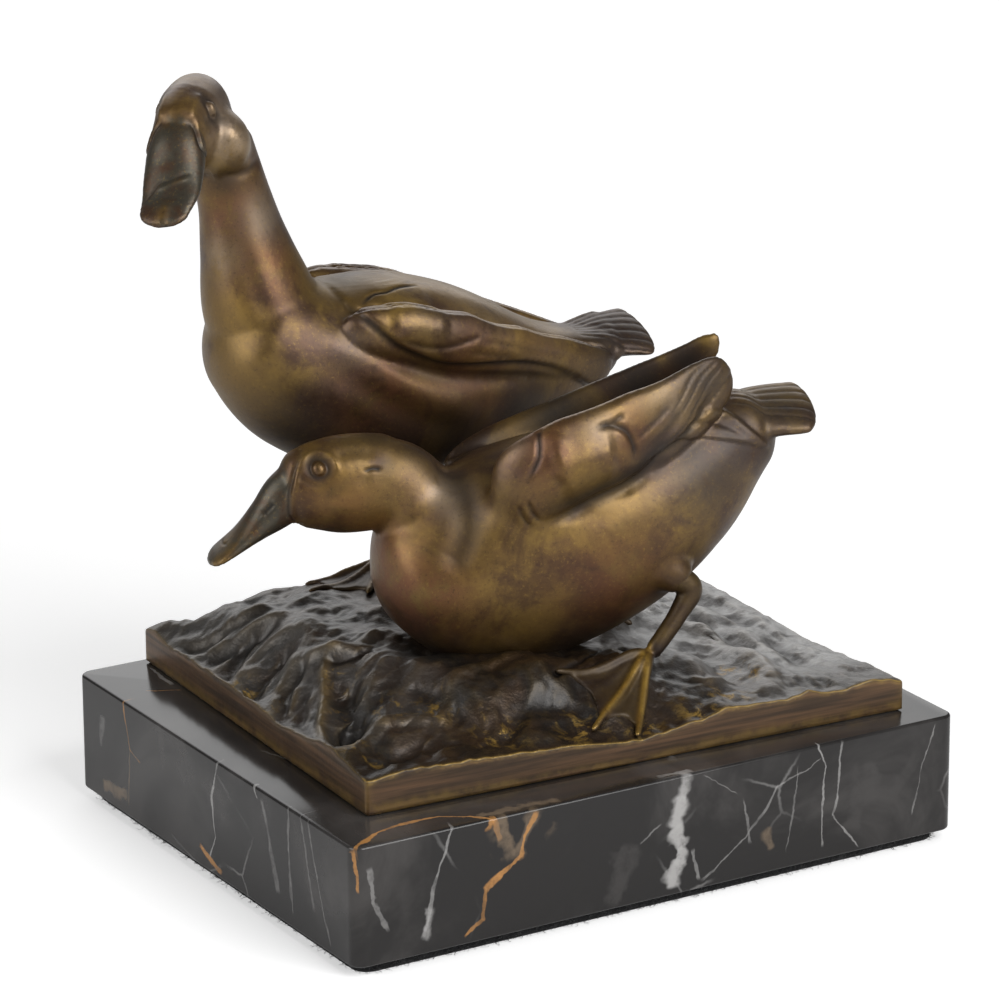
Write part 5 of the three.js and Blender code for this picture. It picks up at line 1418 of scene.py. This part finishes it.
def fibreTree(seed):
    tree = bpy.data.node_groups.new("feltFibres", "GeometryNodeTree")
    tree.interface.new_socket("Felt", in_out="INPUT", socket_type="NodeSocketGeometry")
    sockets = {name: tree.interface.new_socket(name, in_out="INPUT", socket_type="NodeSocketFloat").identifier
               for name in felt["fibres"]}
    tree.interface.new_socket("Felt", in_out="OUTPUT", socket_type="NodeSocketGeometry")

    def add(kind, *inputs, **settings):  # inputs are pairs of a socket and what it is linked or set to
        node = tree.nodes.new(kind)
        for key, value in settings.items():
            setattr(node, key, value)
        for key, value in inputs:
            if hasattr(value, "is_output"):
                tree.links.new(value, node.inputs[key])
            else:
                node.inputs[key].default_value = value
        return node.outputs

    given = add("NodeGroupInput")
    rimOnly = add("GeometryNodeInputNamedAttribute", ("Name", "rim"), data_type="FLOAT")[0]
    amount = add("ShaderNodeMath", (0, rimOnly), (1, given["Amount"]), operation="MULTIPLY")[0]
    scatter = add("GeometryNodeDistributePointsOnFaces", ("Mesh", given["Felt"]), ("Density", amount),
                  ("Seed", seed))
    bend = {"Start": (0, 0, 0), "Start Handle": (0, 0, 0.5), "End Handle": (0.2, 0.1, 0.9),
            "End": (0.7, 0.2, 0.8)}
    points = [(key, add("ShaderNodeVectorMath", (0, share), ("Scale", given["Length"]), operation="SCALE")[0])
              for key, share in bend.items()]
    hair = add("GeometryNodeCurvePrimitiveBezierSegment", ("Resolution", 5), *points)[0]
    section = add("GeometryNodeCurvePrimitiveCircle", ("Resolution", 3), ("Radius", given["Thickness"]))[0]
    thread = add("GeometryNodeCurveToMesh", ("Curve", hair), ("Profile Curve", section))[0]
    size = add("FunctionNodeRandomValue", (2, 0.3), (3, 1.25), ("Seed", seed + 1), data_type="FLOAT")[1]
    planted = add("GeometryNodeInstanceOnPoints", ("Points", scatter["Points"]), ("Instance", thread),
                  ("Rotation", scatter["Rotation"]), ("Scale", size))[0]
    turn = add("FunctionNodeRandomValue", (0, (-1.3, -1.3, -3)), (1, (1.3, 1.3, 3)), ("Seed", seed + 2),
               data_type="FLOAT_VECTOR")[0]
    turned = add("GeometryNodeRotateInstances", ("Instances", planted),
                 ("Rotation", add("FunctionNodeEulerToRotation", (0, turn))[0]))[0]
    real = add("GeometryNodeRealizeInstances", (0, turned))[0]
    x, y, z = add("ShaderNodeSeparateXYZ", (0, add("GeometryNodeInputPosition")[0]))
    lifted = add("ShaderNodeMath", (0, z), (1, 0.00008), operation="MAXIMUM")[0]
    whole = add("ShaderNodeCombineXYZ", (0, x), (1, y), (2, lifted))[0]
    laid = add("GeometryNodeSetPosition", ("Geometry", real), ("Position", whole))[0]  # never below the table
    joined = add("GeometryNodeJoinGeometry", (0, laid), (0, given["Felt"]))[0]
    coloured = add("GeometryNodeSetMaterial", ("Geometry", joined), ("Material", finishes["felt"]))[0]
    add("NodeGroupOutput", (0, coloured))
    return tree, sockets


def makeFelt(sheet):
    points, faces = roundedSlab(*sheet["size"], 0, sheet["thick"], sheet["corner"], sheet["edge"])
    me = plainMesh("felt", np.array(points) * mm, faces)
    me.shade_smooth()
    me.set_sharp_from_angle(angle=radians(50))
    rim = me.attributes.new("rim", "FLOAT", "FACE")
    rim.data.foreach_set("value", [1.0 if abs(face.normal.z) < 0.9 else 0.0 for face in me.polygons])
    me.materials.append(finishes["felt"])
    obj = placed("felt_sheet", me)
    fibres = obj.modifiers.new("fibres", "NODES")
    fibres.node_group, sockets = fibreTree(sheet["seed"])
    for name, value in sheet["fibres"].items():
        fibres[sockets[name]] = value
    fuzzy = evaluated(obj)
    obj.modifiers.clear()
    obj.data = fuzzy
    print("felt_sheet", len(fuzzy.polygons), "faces")
    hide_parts("felt_pad")
    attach(obj, "root")


makeFelt(felt)
print("plinth and felt are made")


# fixings keep their CAD shapes

fixingKinds = ("stud", "washer", "nut", "screw")
for name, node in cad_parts.items():
    if any("_" + kind in name for kind in fixingKinds):
        for materialSlot in node.material_slots:
            materialSlot.material = finishes["steel"]
print("fixings are finished")
